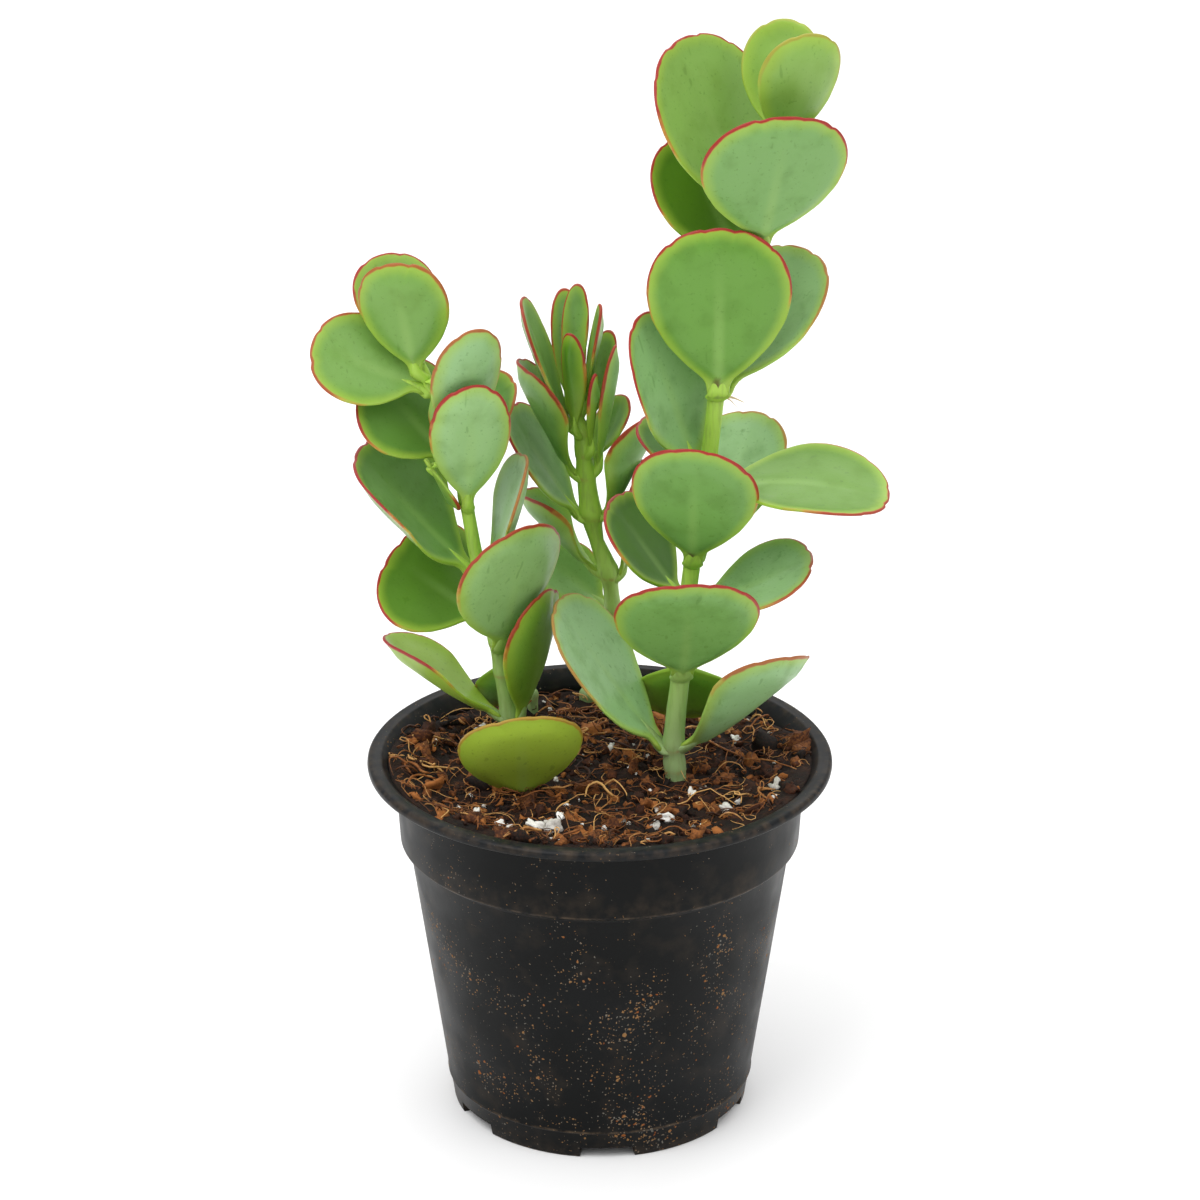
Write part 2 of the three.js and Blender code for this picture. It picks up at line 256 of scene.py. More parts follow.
@dataclass(frozen=True)
class WaxyLeafSkin:
    """Living succulent leaf with a thin wax bloom, which greys the green and softens the gloss to satin."""

    lush: str = "#5f9128"
    sage: str = "#8fb87c"
    # deep green for the mottle, specks and scratches, and for painted shade
    deep: str = "#426c10"
    band: str = "#a2c03e"
    rib: str = "#9cc06a"
    foot: str = "#9dbd5c"
    red: str = "#9c261f"
    amber: str = "#bf7a2e"
    blemish: str = "#5c4a2a"
    roughness: float = 0.37
    mottle_mm: float = 7.0
    speck_mm: float = 0.9
    scratch_mm: float = 2.2
    wander_mm: float = 5.0

    def material(self) -> bpy.types.Material:
        """The leaf's material; it reads how far each point is from the margin, midrib and base."""
        material, tree, skin = start_material("waxy_leaf_skin")
        place = add_node(tree, "ShaderNodeTexCoord").outputs["Object"]

        def read(name: str) -> Socket:
            """A vertex value."""
            return add_node(tree, "ShaderNodeAttribute", attribute_name=name).outputs["Fac"]

        def step(value: Socket, low: float, high: float, top: float = 1.0) -> Socket:
            """A smooth rise of value from low to high, up to top."""
            return add_node(
                tree,
                "ShaderNodeMapRange",
                {0: value, 1: low, 2: high, 3: 0.0, 4: top},
                interpolation_type="SMOOTHSTEP",
            ).outputs[0]

        def times(a: Socket, b: Socket | float) -> Socket:
            """One value times another."""
            return add_node(tree, "ShaderNodeMath", {0: a, 1: b}, operation="MULTIPLY").outputs[0]

        def tint(
            share: Socket, under: Socket | tuple, over: str
        ) -> Socket:
            """Colour over laid on under by a share."""
            return add_node(
                tree,
                "ShaderNodeMix",
                {0: share, MIX_A: under, MIX_B: linear(over)},
                data_type="RGBA",
            ).outputs[MIX_OUT]

        margin, along, rib = read("margin_mm"), read("along"), read("rib_mm")
        tone, painted_shade, sun, blush = read("tone"), read("painted_shade"), read("sun"), read("blush")

        mottle = add_node(
            tree, "ShaderNodeTexNoise", {"Vector": place, "Scale": per_metre(self.mottle_mm), "Detail": 4.0}
        ).outputs["Fac"]
        colour = tint(tone, linear(self.lush), self.sage)
        colour = tint(step(mottle, 0.45, 0.75, 0.32), colour, self.deep)
        # painted shade: leaves that lie in shade are darkened towards the deep green
        colour = tint(painted_shade, colour, self.deep)
        colour = tint(sun, colour, self.band)
        colour = tint(times(step(rib, 2.4, 0.2, 0.28), step(along, 0.95, 0.2)), colour, self.rib)
        colour = tint(step(along, 0.16, 0.0, 0.85), colour, self.foot)

        speck = add_node(
            tree, "ShaderNodeTexNoise", {"Vector": place, "Scale": per_metre(self.speck_mm), "Detail": 2.0}
        ).outputs["Fac"]
        colour = tint(step(speck, 0.62, 0.72, 0.3), colour, self.deep)
        stretch = add_node(
            tree, "ShaderNodeMapping", {"Vector": place, "Rotation": (0.6, 0.5, 0.4), "Scale": (1.0, 1.0, 0.16)}
        ).outputs[0]
        scratch = add_node(
            tree, "ShaderNodeTexNoise", {"Vector": stretch, "Scale": per_metre(self.scratch_mm), "Detail": 1.0}
        ).outputs["Fac"]
        colour = tint(step(scratch, 0.70, 0.76, 0.3), colour, self.deep)

        wander = add_node(
            tree, "ShaderNodeTexNoise", {"Vector": place, "Scale": per_metre(self.wander_mm), "Detail": 2.0}
        ).outputs["Fac"]
        shift = add_node(tree, "ShaderNodeMath", {0: wander, 1: -0.5}, operation="ADD").outputs[0]
        edge, reach = (
            add_node(tree, "ShaderNodeMath", {0: shift, 1: sway, 2: line}, operation="MULTIPLY_ADD").outputs[0]
            for sway, line in ((1.2, margin), (0.5, along))
        )
        colour = tint(step(edge, 4.2, 0.2, 0.62), colour, self.band)
        amber = times(times(step(edge, 0.95, 0.3, 0.8), step(reach, 0.38, 0.56)), blush)
        colour = tint(amber, colour, self.amber)
        red = times(times(step(edge, 0.8, 0.35), step(reach, 0.50, 0.68)), blush)
        colour = tint(red, colour, self.red)
        colour = tint(read("blemish"), colour, self.blemish)

        rough = add_node(
            tree,
            "ShaderNodeMapRange",
            {0: mottle, 1: 0.3, 2: 0.7, 3: self.roughness - 0.07, 4: self.roughness + 0.09},
        ).outputs[0]
        bump = add_node(
            tree, "ShaderNodeBump", {"Height": speck, "Strength": 0.10, "Distance": 0.0004}
        ).outputs[0]
        for socket, value in (("Base Color", colour), ("Roughness", rough), ("Normal", bump)):
            tree.links.new(value, skin.inputs[socket])
        skin.inputs["IOR"].default_value = 1.42
        skin.inputs["Subsurface Weight"].default_value = 0.08
        skin.inputs["Subsurface Radius"].default_value = (0.5, 1.0, 0.2)
        skin.inputs["Subsurface Scale"].default_value = 0.0015
        return material


@dataclass(frozen=True)
class PaleStemSkin:
    """Smooth fleshy stem with a wax bloom: lime green, greyer near the soil and tan at its scars."""

    young: str = "#a8cc50"
    old: str = "#93ad74"
    scar: str = "#a27a4c"
    fleck: str = "#7a8f4a"
    roughness: float = 0.46

    def material(self) -> bpy.types.Material:
        """The stem's material; it reads each point's age and how near it is to a joint's scar."""
        material, tree, skin = start_material("pale_stem_skin")
        place = add_node(tree, "ShaderNodeTexCoord").outputs["Object"]
        age = add_node(tree, "ShaderNodeAttribute", attribute_name="age").outputs["Fac"]
        scar = add_node(tree, "ShaderNodeAttribute", attribute_name="scar").outputs["Fac"]
        colour = add_node(
            tree,
            "ShaderNodeMix",
            {0: age, MIX_A: linear(self.young), MIX_B: linear(self.old)},
            data_type="RGBA",
        ).outputs[MIX_OUT]
        drawn = {"Vector": place, "Scale": (1.0, 1.0, 0.18)}
        streak_place = add_node(tree, "ShaderNodeMapping", drawn).outputs[0]
        streak = add_node(
            tree, "ShaderNodeTexNoise", {"Vector": streak_place, "Scale": per_metre(1.3), "Detail": 3.0}
        ).outputs["Fac"]
        streaked = add_node(
            tree, "ShaderNodeMapRange", {0: streak, 1: 0.48, 2: 0.75, 3: 0.0, 4: 0.55}
        ).outputs[0]
        colour = add_node(
            tree,
            "ShaderNodeMix",
            {0: streaked, MIX_A: colour, MIX_B: linear(self.fleck)},
            data_type="RGBA",
        ).outputs[MIX_OUT]
        broken = add_node(
            tree, "ShaderNodeTexNoise", {"Vector": place, "Scale": per_metre(1.5), "Detail": 2.0}
        ).outputs["Fac"]
        patch = add_node(tree, "ShaderNodeMapRange", {0: broken, 1: 0.35, 2: 0.6, 3: 0.1, 4: 0.6}).outputs[0]
        share = add_node(tree, "ShaderNodeMath", {0: scar, 1: patch}, operation="MULTIPLY").outputs[0]
        colour = add_node(
            tree,
            "ShaderNodeMix",
            {0: share, MIX_A: colour, MIX_B: linear(self.scar)},
            data_type="RGBA",
        ).outputs[MIX_OUT]
        bump = add_node(
            tree, "ShaderNodeBump", {"Height": streak, "Strength": 0.25, "Distance": 0.0003}
        ).outputs[0]
        tree.links.new(colour, skin.inputs["Base Color"])
        tree.links.new(bump, skin.inputs["Normal"])
        skin.inputs["Roughness"].default_value = self.roughness
        skin.inputs["IOR"].default_value = 1.42
        skin.inputs["Subsurface Weight"].default_value = 0.12
        skin.inputs["Subsurface Radius"].default_value = (0.5, 1.0, 0.3)
        skin.inputs["Subsurface Scale"].default_value = 0.002
        return material


@dataclass(frozen=True)
class GrittyMatter:
    """Loose dry matter, matt and uneven: each grain's tone picks its colour, and grit mottles it."""

    name: str
    dark: str
    middle: str
    light: str
    grit_mm: float
    roughness: float
    depth_mm: float

    def material(self) -> bpy.types.Material:
        """The material; it reads each grain's tone."""
        material, tree, skin = start_material(self.name)
        place = add_node(tree, "ShaderNodeTexCoord").outputs["Object"]
        tone = add_node(tree, "ShaderNodeAttribute", attribute_name="tone").outputs["Fac"]
        grit = add_node(
            tree, "ShaderNodeTexNoise", {"Vector": place, "Scale": per_metre(self.grit_mm), "Detail": 4.0}
        ).outputs["Fac"]
        mixed = add_node(
            tree, "ShaderNodeMath", {0: grit, 1: 0.9, 2: tone}, operation="MULTIPLY_ADD"
        ).outputs[0]
        level = add_node(tree, "ShaderNodeMath", {0: mixed, 1: -0.45}, operation="ADD").outputs[0]
        low = add_node(tree, "ShaderNodeMapRange", {0: level, 1: 0.0, 2: 0.5}).outputs[0]
        high = add_node(tree, "ShaderNodeMapRange", {0: level, 1: 0.5, 2: 1.0}).outputs[0]
        colour = add_node(
            tree,
            "ShaderNodeMix",
            {0: low, MIX_A: linear(self.dark), MIX_B: linear(self.middle)},
            data_type="RGBA",
        ).outputs[MIX_OUT]
        colour = add_node(
            tree,
            "ShaderNodeMix",
            {0: high, MIX_A: colour, MIX_B: linear(self.light)},
            data_type="RGBA",
        ).outputs[MIX_OUT]
        bump = add_node(
            tree, "ShaderNodeBump", {"Height": grit, "Strength": 0.7, "Distance": self.depth_mm * MM}
        ).outputs[0]
        tree.links.new(colour, skin.inputs["Base Color"])
        tree.links.new(bump, skin.inputs["Normal"])
        skin.inputs["Roughness"].default_value = self.roughness
        skin.inputs["Specular IOR Level"].default_value = 0.35
        return material


COIR_DUST = GrittyMatter("damp_coir_dust", "#0d0805", "#25140b", "#4c2b16", 1.1, 0.95, 0.6)
COIR_CHIP = GrittyMatter("coconut_husk_chip", "#120904", "#44220f", "#a0622e", 0.8, 0.85, 0.3)
COIR_FIBRE = GrittyMatter("coconut_fibre", "#351b0b", "#8f5526", "#d9a765", 1.5, 0.6, 0.05)
PERLITE = GrittyMatter("expanded_perlite", "#a9a59c", "#dfdcd4", "#fbfaf6", 0.7, 0.9, 0.25)
DRY_ROOT = GrittyMatter("dry_aerial_root", "#b98d63", "#dcc39a", "#efe2c2", 1.0, 0.7, 0.1)


@dataclass(frozen=True)
class MouldedPolypropylene:
    """Injection-moulded black polypropylene: satin, scuffed grey on the rim and flecked with compost."""

    black: str = "#090a0a"
    worn: str = "#3c3f43"
    dust: str = "#73604c"
    speck: str = "#86643f"
    rust: str = "#8a4c22"
    pale: str = "#6a675f"
    roughness: float = 0.36
    speck_mm: float = 0.75
    crumb_mm: float = 1.8
    clump_mm: float = 15.0
    rim_height_mm: float = 103.0
    bare_above_mm: float = 74.0

    def material(self) -> bpy.types.Material:
        """The pot's material; it reads where the edges are worn."""
        material, tree, skin = start_material("moulded_polypropylene")
        place = add_node(tree, "ShaderNodeTexCoord").outputs["Object"]
        height = add_node(tree, "ShaderNodeSeparateXYZ", {0: place}).outputs["Z"]
        wear = add_node(tree, "ShaderNodeAttribute", attribute_name="wear").outputs["Fac"]

        def step(value: Socket, low: float, high: float, top: float = 1.0) -> Socket:
            """A straight rise of value from low to high, up to top."""
            return add_node(
                tree, "ShaderNodeMapRange", {0: value, 1: low, 2: high, 3: 0.0, 4: top}
            ).outputs[0]

        def tint(
            share: Socket, under: Socket | tuple, over: str
        ) -> Socket:
            """Colour over laid on under by a share."""
            return add_node(
                tree,
                "ShaderNodeMix",
                {0: share, MIX_A: under, MIX_B: linear(over)},
                data_type="RGBA",
            ).outputs[MIX_OUT]

        def both(a: Socket, b: Socket, how: str = "MULTIPLY") -> Socket:
            """Two values joined by one sum."""
            return add_node(tree, "ShaderNodeMath", {0: a, 1: b}, operation=how).outputs[0]

        def cloud(size_mm: float, detail: float = 3.0) -> Socket:
            """Soft patches of that size."""
            return add_node(
                tree, "ShaderNodeTexNoise", {"Vector": place, "Scale": per_metre(size_mm), "Detail": detail}
            ).outputs["Fac"]

        warp = add_node(
            tree, "ShaderNodeTexNoise", {"Vector": place, "Scale": per_metre(0.9), "Detail": 2.0}
        ).outputs["Color"]
        nudge = add_node(
            tree,
            "ShaderNodeVectorMath",
            {0: warp, 1: (0.0012, 0.0012, 0.0012), 2: place},
            operation="MULTIPLY_ADD",
        ).outputs[0]

        def crumbs(size_mm: float, patches: Socket, spare: float) -> Socket:
            """Scattered crumbs in cells of that size, more of them where patches is high."""
            cells = add_node(tree, "ShaderNodeTexVoronoi", {"Vector": nudge, "Scale": per_metre(size_mm)})
            luck = add_node(tree, "ShaderNodeSeparateColor", {0: cells.outputs["Color"]}).outputs[0]
            present = both(luck, patches, "ADD")
            chosen = step(present, spare, spare + 0.02)
            size = step(present, spare, spare + 0.6, 0.3)
            grown = both(size, cells.outputs["Distance"], "SUBTRACT")
            return both(chosen, step(grown, -0.18, -0.10))

        lower = step(height, self.bare_above_mm * MM, (self.bare_above_mm - 12) * MM, 0.25)
        patches = both(step(cloud(self.clump_mm, 2.0), 0.4, 0.75, 0.55), lower, "ADD")
        fine = crumbs(self.speck_mm, patches, 1.08)
        coarse = crumbs(self.crumb_mm, patches, 1.27)
        colour = tint(step(cloud(30.0), 0.45, 0.8, 0.1), linear(self.black), self.worn)
        colour = tint(step(cloud(9.0, 6.0), 0.55, 0.8, 0.09), colour, self.dust)
        rim = both(
            step(height, (self.rim_height_mm - 2.9) * MM, (self.rim_height_mm - 1.2) * MM, 0.35), cloud(4.0, 5.0)
        )
        colour = tint(rim, colour, self.worn)
        colour = tint(both(wear, step(cloud(3.0, 4.0), 0.4, 0.7, 0.5)), colour, self.dust)
        speck_colour = tint(step(cloud(2.2), 0.42, 0.6), linear(self.speck), self.pale)
        crumb_colour = tint(step(cloud(2.6), 0.45, 0.6), linear(self.speck), self.rust)
        for share, top in ((fine, speck_colour), (coarse, crumb_colour)):
            colour = add_node(
                tree,
                "ShaderNodeMix",
                {0: share, MIX_A: colour, MIX_B: top},
                data_type="RGBA",
            ).outputs[MIX_OUT]
        grime = both(fine, coarse, "MAXIMUM")
        rough = add_node(
            tree,
            "ShaderNodeMapRange",
            {0: cloud(12.0, 5.0), 1: 0.3, 2: 0.7, 3: self.roughness - 0.05, 4: self.roughness + 0.12},
        ).outputs[0]
        rough = both(rough, step(grime, 0.0, 1.0, 0.5), "ADD")
        relief = both(grime, step(cloud(0.8), 0.0, 1.0, 0.12), "ADD")
        bump = add_node(
            tree, "ShaderNodeBump", {"Height": relief, "Strength": 0.35, "Distance": 0.0003}
        ).outputs[0]
        for socket, value in (("Base Color", colour), ("Roughness", rough), ("Normal", bump)):
            tree.links.new(value, skin.inputs[socket])
        skin.inputs["IOR"].default_value = 1.49
        skin.inputs["Specular IOR Level"].default_value = 0.12
        return material


@dataclass(frozen=True)
class PaintedFloor:
    """Matt white studio floor, with a trace of cloud so that it isn't one flat tone."""

    white: str = "#fbfbfb"
    grey: str = "#f7f7f7"
    cloud_mm: float = 333.3

    def material(self) -> bpy.types.Material:
        """The floor's material."""
        material, tree, skin = start_material("painted_floor")
        place = add_node(tree, "ShaderNodeTexCoord").outputs["Object"]
        cloud = add_node(
            tree, "ShaderNodeTexNoise", {"Vector": place, "Scale": per_metre(self.cloud_mm)}
        ).outputs["Fac"]
        colour = add_node(
            tree,
            "ShaderNodeMix",
            {0: cloud, MIX_A: linear(self.white), MIX_B: linear(self.grey)},
            data_type="RGBA",
        ).outputs[MIX_OUT]
        tree.links.new(colour, skin.inputs["Base Color"])
        skin.inputs["Roughness"].default_value = 0.95
        skin.inputs["Specular IOR Level"].default_value = 0.1
        return material


# ---------------------------------------------------------------- the studio


@dataclass
class Studio:
    """Floor, light and camera; none of them is part of the plant."""

    floor_size: float = 7.0
    aim_height: float = 0.148
    distance: float = 1.076
    elevation: float = 22.2
    lens: float = 120.0
    sky_low: float = 0.3
    sky_high: float = 1.3
    lights: tuple[tuple[str, tuple[float, float, float], float, float], ...] = (
        ("soft_key", (-0.75, -0.7, 1.45), 1.2, 13.0),
        ("soft_fill", (0.95, -0.6, 1.1), 1.1, 4.5),
        ("soft_back", (0.2, 1.1, 1.3), 1.2, 6.0),
    )

    def build(self) -> None:
        """Makes the floor, the world's even light, the softboxes and the camera."""
        half = self.floor_size / 2
        corners = np.array([(-half, -half, 0), (half, -half, 0), (half, half, 0), (-half, half, 0)])
        floor = mesh_piece("studio_floor", corners, [(0, 1, 2, 3)], PaintedFloor().material())
        world = bpy.data.worlds.new("even_white")
        world.use_nodes = True
        tree = world.node_tree
        way = add_node(tree, "ShaderNodeTexCoord").outputs["Generated"]
        steep = add_node(tree, "ShaderNodeSeparateXYZ", {0: way}).outputs["Z"]
        bright = add_node(
            tree, "ShaderNodeMapRange", {0: steep, 1: 0.0, 2: 1.0, 3: self.sky_low, 4: self.sky_high}
        ).outputs[0]
        tree.links.new(bright, tree.nodes["Background"].inputs[1])
        tree.nodes["Background"].inputs[0].default_value = linear("#ffffff")
        bpy.context.scene.world = world
        bpy.context.scene.view_settings.view_transform = "Standard"
        aim = Vector((0, 0, self.aim_height))
        for name, place, size, power in self.lights:
            light = bpy.data.lights.new(name, "AREA")
            light.size = size
            light.energy = power
            lamp = bpy.data.objects.new(name, light)
            lamp.location = place
            lamp.rotation_euler = (aim - Vector(place)).to_track_quat("-Z", "Y").to_euler()
            bpy.context.scene.collection.objects.link(lamp)
        data = bpy.data.cameras.new("camera")
        data.lens, data.sensor_width = self.lens, 36.0
        data.clip_start, data.clip_end = 0.05, 20.0
        camera = bpy.data.objects.new("camera", data)
        tilt = math.radians(self.elevation)
        back = Vector((0, -math.cos(tilt), math.sin(tilt)))
        camera.location = aim + back * self.distance
        camera.rotation_euler = (-back).to_track_quat("-Z", "Y").to_euler()
        bpy.context.scene.collection.objects.link(camera)
        bpy.context.scene.camera = camera
        log.info("studio: floor, %d softboxes and camera", len(self.lights))


# ---------------------------------------------------------------- stems


@dataclass
class StemFrame:
    """A stem's centre line and radius, read from its CAD rings."""

    name: str
    heights: np.ndarray = field(init=False)
    centres: np.ndarray = field(init=False)
    radii: np.ndarray = field(init=False)

    def __post_init__(self) -> None:
        """Groups the CAD node's points into level rings."""
        points, _ = welded("stem_" + self.name)
        levels: dict[int, list[np.ndarray]] = {}
        for point in points:
            levels.setdefault(round(point[2] * 2e5), []).append(point)
        rings = [np.array(levels[z]) for z in sorted(levels) if len(levels[z]) > 4]
        self.centres = np.array([ring.mean(0) for ring in rings])
        self.heights = self.centres[:, 2]
        spreads = (ring[:, :2] - centre[:2] for ring, centre in zip(rings, self.centres))
        self.radii = np.array([np.linalg.norm(spread, axis=1).mean() for spread in spreads])

    def centre(self, z: np.ndarray | float) -> np.ndarray:
        """The centre line at a height."""
        x, y = (np.interp(z, self.heights, self.centres[:, axis]) for axis in (0, 1))
        return np.stack([x, y, np.asarray(z, float) + 0 * x], axis=-1)

    def radius(self, z: np.ndarray | float) -> np.ndarray:
        """The radius at a height."""
        return np.interp(z, self.heights, self.radii)


# ---------------------------------------------------------------- leaves


@dataclass(frozen=True)
class LeafLook:
    """How one leaf has grown, and how much painted shade darkens it where it lies in shade, in shares from 0 to
    1, and how far up it a brown spot lies in mm, if any.
    """

    tone: float = 0.45
    painted_shade: float = 0.0
    sun: float = 0.0
    blush: float = 1.0
    spot: float | None = None


# The second share of each look is painted shade for a leaf that lies in shade.
LEAF_LOOKS: dict[str, LeafLook] = {
    "right_1a": LeafLook(1.0, 0.0, 0.0, 0.5),
    "right_1b": LeafLook(1.0, 0.0, 0.0, 0.7),
    "right_2a": LeafLook(0.35, 0.0, 0.0, 1.0),
    "right_2b": LeafLook(0.1, 0.0, 0.25, 0.2),
    "right_3a": LeafLook(0.1, 0.95, 0.0, 1.0),
    "right_3b": LeafLook(0.8, 0.0, 0.0, 0.8),
    "right_4a": LeafLook(0.3, 0.1, 0.0, 1.0, 3.0),
    "right_4b": LeafLook(0.9, 0.0, 0.0, 0.5),
    "right_5a": LeafLook(0.0, 0.3, 0.1, 0.9),
    "right_5b": LeafLook(0.3, 0.5, 0.0, 1.0),
    "right_6a": LeafLook(0.8, 0.0, 0.0, 1.0),
    "right_7a": LeafLook(0.1, 0.1, 0.0, 1.0, 3.2),
    "right_7b": LeafLook(0.7, 0.0, 0.0, 0.6),
    "right_8a": LeafLook(0.0, 0.6, 0.05, 1.0),
    "right_9a": LeafLook(0.5, 0.1, 0.0, 1.0),
    "right_9b": LeafLook(0.35, 0.0, 0.25, 1.0),
    "right_10a": LeafLook(0.4, 0.0, 0.3, 0.25),
    "right_10b": LeafLook(0.2, 0.3, 0.0, 0.9),
    "right_11a": LeafLook(0.3, 0.0, 0.35, 0.15),
    "left_1a": LeafLook(0.4, 0.0, 0.7, 1.0),
    "left_1b": LeafLook(0.1, 0.0, 0.3, 0.9),
    "left_2a": LeafLook(0.9, 0.0, 0.15, 0.9),
    "left_3a": LeafLook(0.1, 0.55, 0.05, 1.0),
    "left_4a": LeafLook(0.35, 0.4, 0.0, 1.0),
    "left_4b": LeafLook(1.0, 0.0, 0.0, 0.6),
    "left_5a": LeafLook(1.0, 0.0, 0.1, 1.0),
    "left_7a": LeafLook(0.2, 0.5, 0.0, 1.0),
    "left_7b": LeafLook(0.3, 0.3, 0.0, 0.7),
    "left_8a": LeafLook(1.0, 0.0, 0.0, 0.7),
    "left_8b": LeafLook(1.0, 0.0, 0.0, 1.0),
    "left_9a": LeafLook(0.3, 0.1, 0.1, 0.8),
    "left_9b": LeafLook(0.3, 0.1, 0.1, 0.7),
    "left_10a": LeafLook(0.4, 0.1, 0.2, 1.0),
    "middle_2a": LeafLook(0.5, 0.25, 0.0, 1.0),
    "middle_5b": LeafLook(0.0, 0.4, 0.0, 1.0),
    "middle_4b": LeafLook(0.0, 0.35, 0.0, 1.0),
    "soil": LeafLook(0.6, 0.0, 1.0, 0.45),
}


class LeafFrame:
    """A leaf's midline, section and size, read from its CAD ribs."""

    ribs = np.array([0.0, 0.08, 0.17, 0.29, 0.43, 0.59, 0.75, 0.88, 0.96])
    widest = 5

    def __init__(self, node: str) -> None:
        """Reads the node's rings from its base to its tip.

        Args:
            node: the CAD leaf's name.
        """
        points, near = welded(node)
        rings = self._rings(points, near)
        left_margin, right_margin, top, bottom = self._marks(rings)
        flesh = (top - bottom) / 0.9
        self.middle = top + flesh * 0.1
        self.up = unit(flesh)
        across = left_margin - right_margin
        self.left = unit(across - (across * self.up).sum(1, keepdims=True) * self.up)
        self.half = np.linalg.norm(across, axis=1) / 2
        rise = (((left_margin + right_margin) / 2 - self.middle) * self.up).sum(1)
        self.width = float(self.half[self.widest])
        self.cup = float(rise[self.widest] / self.width**2)
        stations = np.append(self.ribs, 1.0)
        line = np.vstack([self.middle, self.tip])
        self.length = float(np.linalg.norm(np.diff(line, axis=0), axis=1).sum())
        self.line_fit = [np.polyfit(stations, line[:, axis], 3) for axis in range(3)]
        self.left_fit = [np.polyfit(self.ribs, self.left[:, axis], 2) for axis in range(3)]
        self.up_fit = [np.polyfit(self.ribs, self.up[:, axis], 2) for axis in range(3)]

    def _rings(self, points: np.ndarray, near: list[set[int]]) -> list[np.ndarray]:
        """The eight-point rings in order from the base, each in order round the leaf."""
        best: tuple[float, list[list[int]]] | None = None
        for start in range(len(points)):
            levels, seen, edge = [], {start}, [start]
            while edge:
                edge = sorted({n for v in edge for n in near[v]} - seen)
                seen.update(edge)
                if edge:
                    levels.append(edge)
            sizes = [len(level) for level in levels]
            if sizes != [8] * len(self.ribs) + [1]:
                continue
            reach = float(np.linalg.norm(points[levels[0]].mean(0) - points[start]))
            if best is None or reach < best[0]:
                best = (reach, levels)
        if best is None:
            raise ValueError("a leaf's rings were not found")
        levels = best[1]
        self.tip = points[levels[-1][0]]
        rings = []
        for level in levels[:-1]:
            members, ring = set(level), [level[0]]
            while len(ring) < 8:
                ring.append(min((near[ring[-1]] & members) - set(ring)))
            rings.append(points[ring])
        return rings

    def _marks(self, rings: list[np.ndarray]) -> tuple[np.ndarray, np.ndarray, np.ndarray, np.ndarray]:
        """Left margin, right margin, top midrib and underside midrib points of every ring."""
        wide = rings[self.widest]
        k = max(range(4), key=lambda i: float(np.linalg.norm(wide[i] - wide[i + 4])))
        chord = unit(wide[k] - wide[k + 4])
        sides = [wide[k + 2], wide[(k + 6) % 8]]

        def off_chord(point: np.ndarray) -> float:
            """How far a point is from the line between the margins."""
            rel = point - wide[k]
            return float(np.linalg.norm(rel - (rel @ chord) * chord))

        sides.sort(key=off_chord)
        up = unit(sides[0] - sides[1])
        forward = unit(self.tip - rings[0].mean(0))
        left = np.cross(up, forward)
        found = []
        for ring in rings:
            out = (ring - ring.mean(0)) @ left
            a = int(np.argmax(out))
            pair = sorted((ring[(a + 2) % 8], ring[(a + 6) % 8]), key=lambda p: -float(p @ up))
            found.append((ring[a], ring[(a + 4) % 8], pair[0], pair[1]))
        a, b, top, bottom = (np.array([marks[i] for marks in found]) for i in range(4))
        return a, b, top, bottom

    def at(self, fits: list[np.ndarray], t: np.ndarray) -> np.ndarray:
        """A fitted line or direction at shares t along the leaf."""
        return np.stack([np.polyval(fit, t) for fit in fits], axis=-1)

    def place(self, across: np.ndarray, along: np.ndarray, off: np.ndarray) -> np.ndarray:
        """Points of the leaf in the row frame.

        Args:
            across: metres from the midrib, to the left.
            along: metres from the base.
            off: metres above the middle surface.

        Returns:
            One row of x, y, z for each.
        """
        t = along / self.length
        up = unit(self.at(self.up_fit, t))
        left = self.at(self.left_fit, t)
        left = unit(left - (left * up).sum(-1, keepdims=True) * up)
        rise = self.cup * across**2 * np.clip(2 * t, 0, 1)
        return self.at(self.line_fit, t) + left * across[..., None] + up * (rise + off)[..., None]


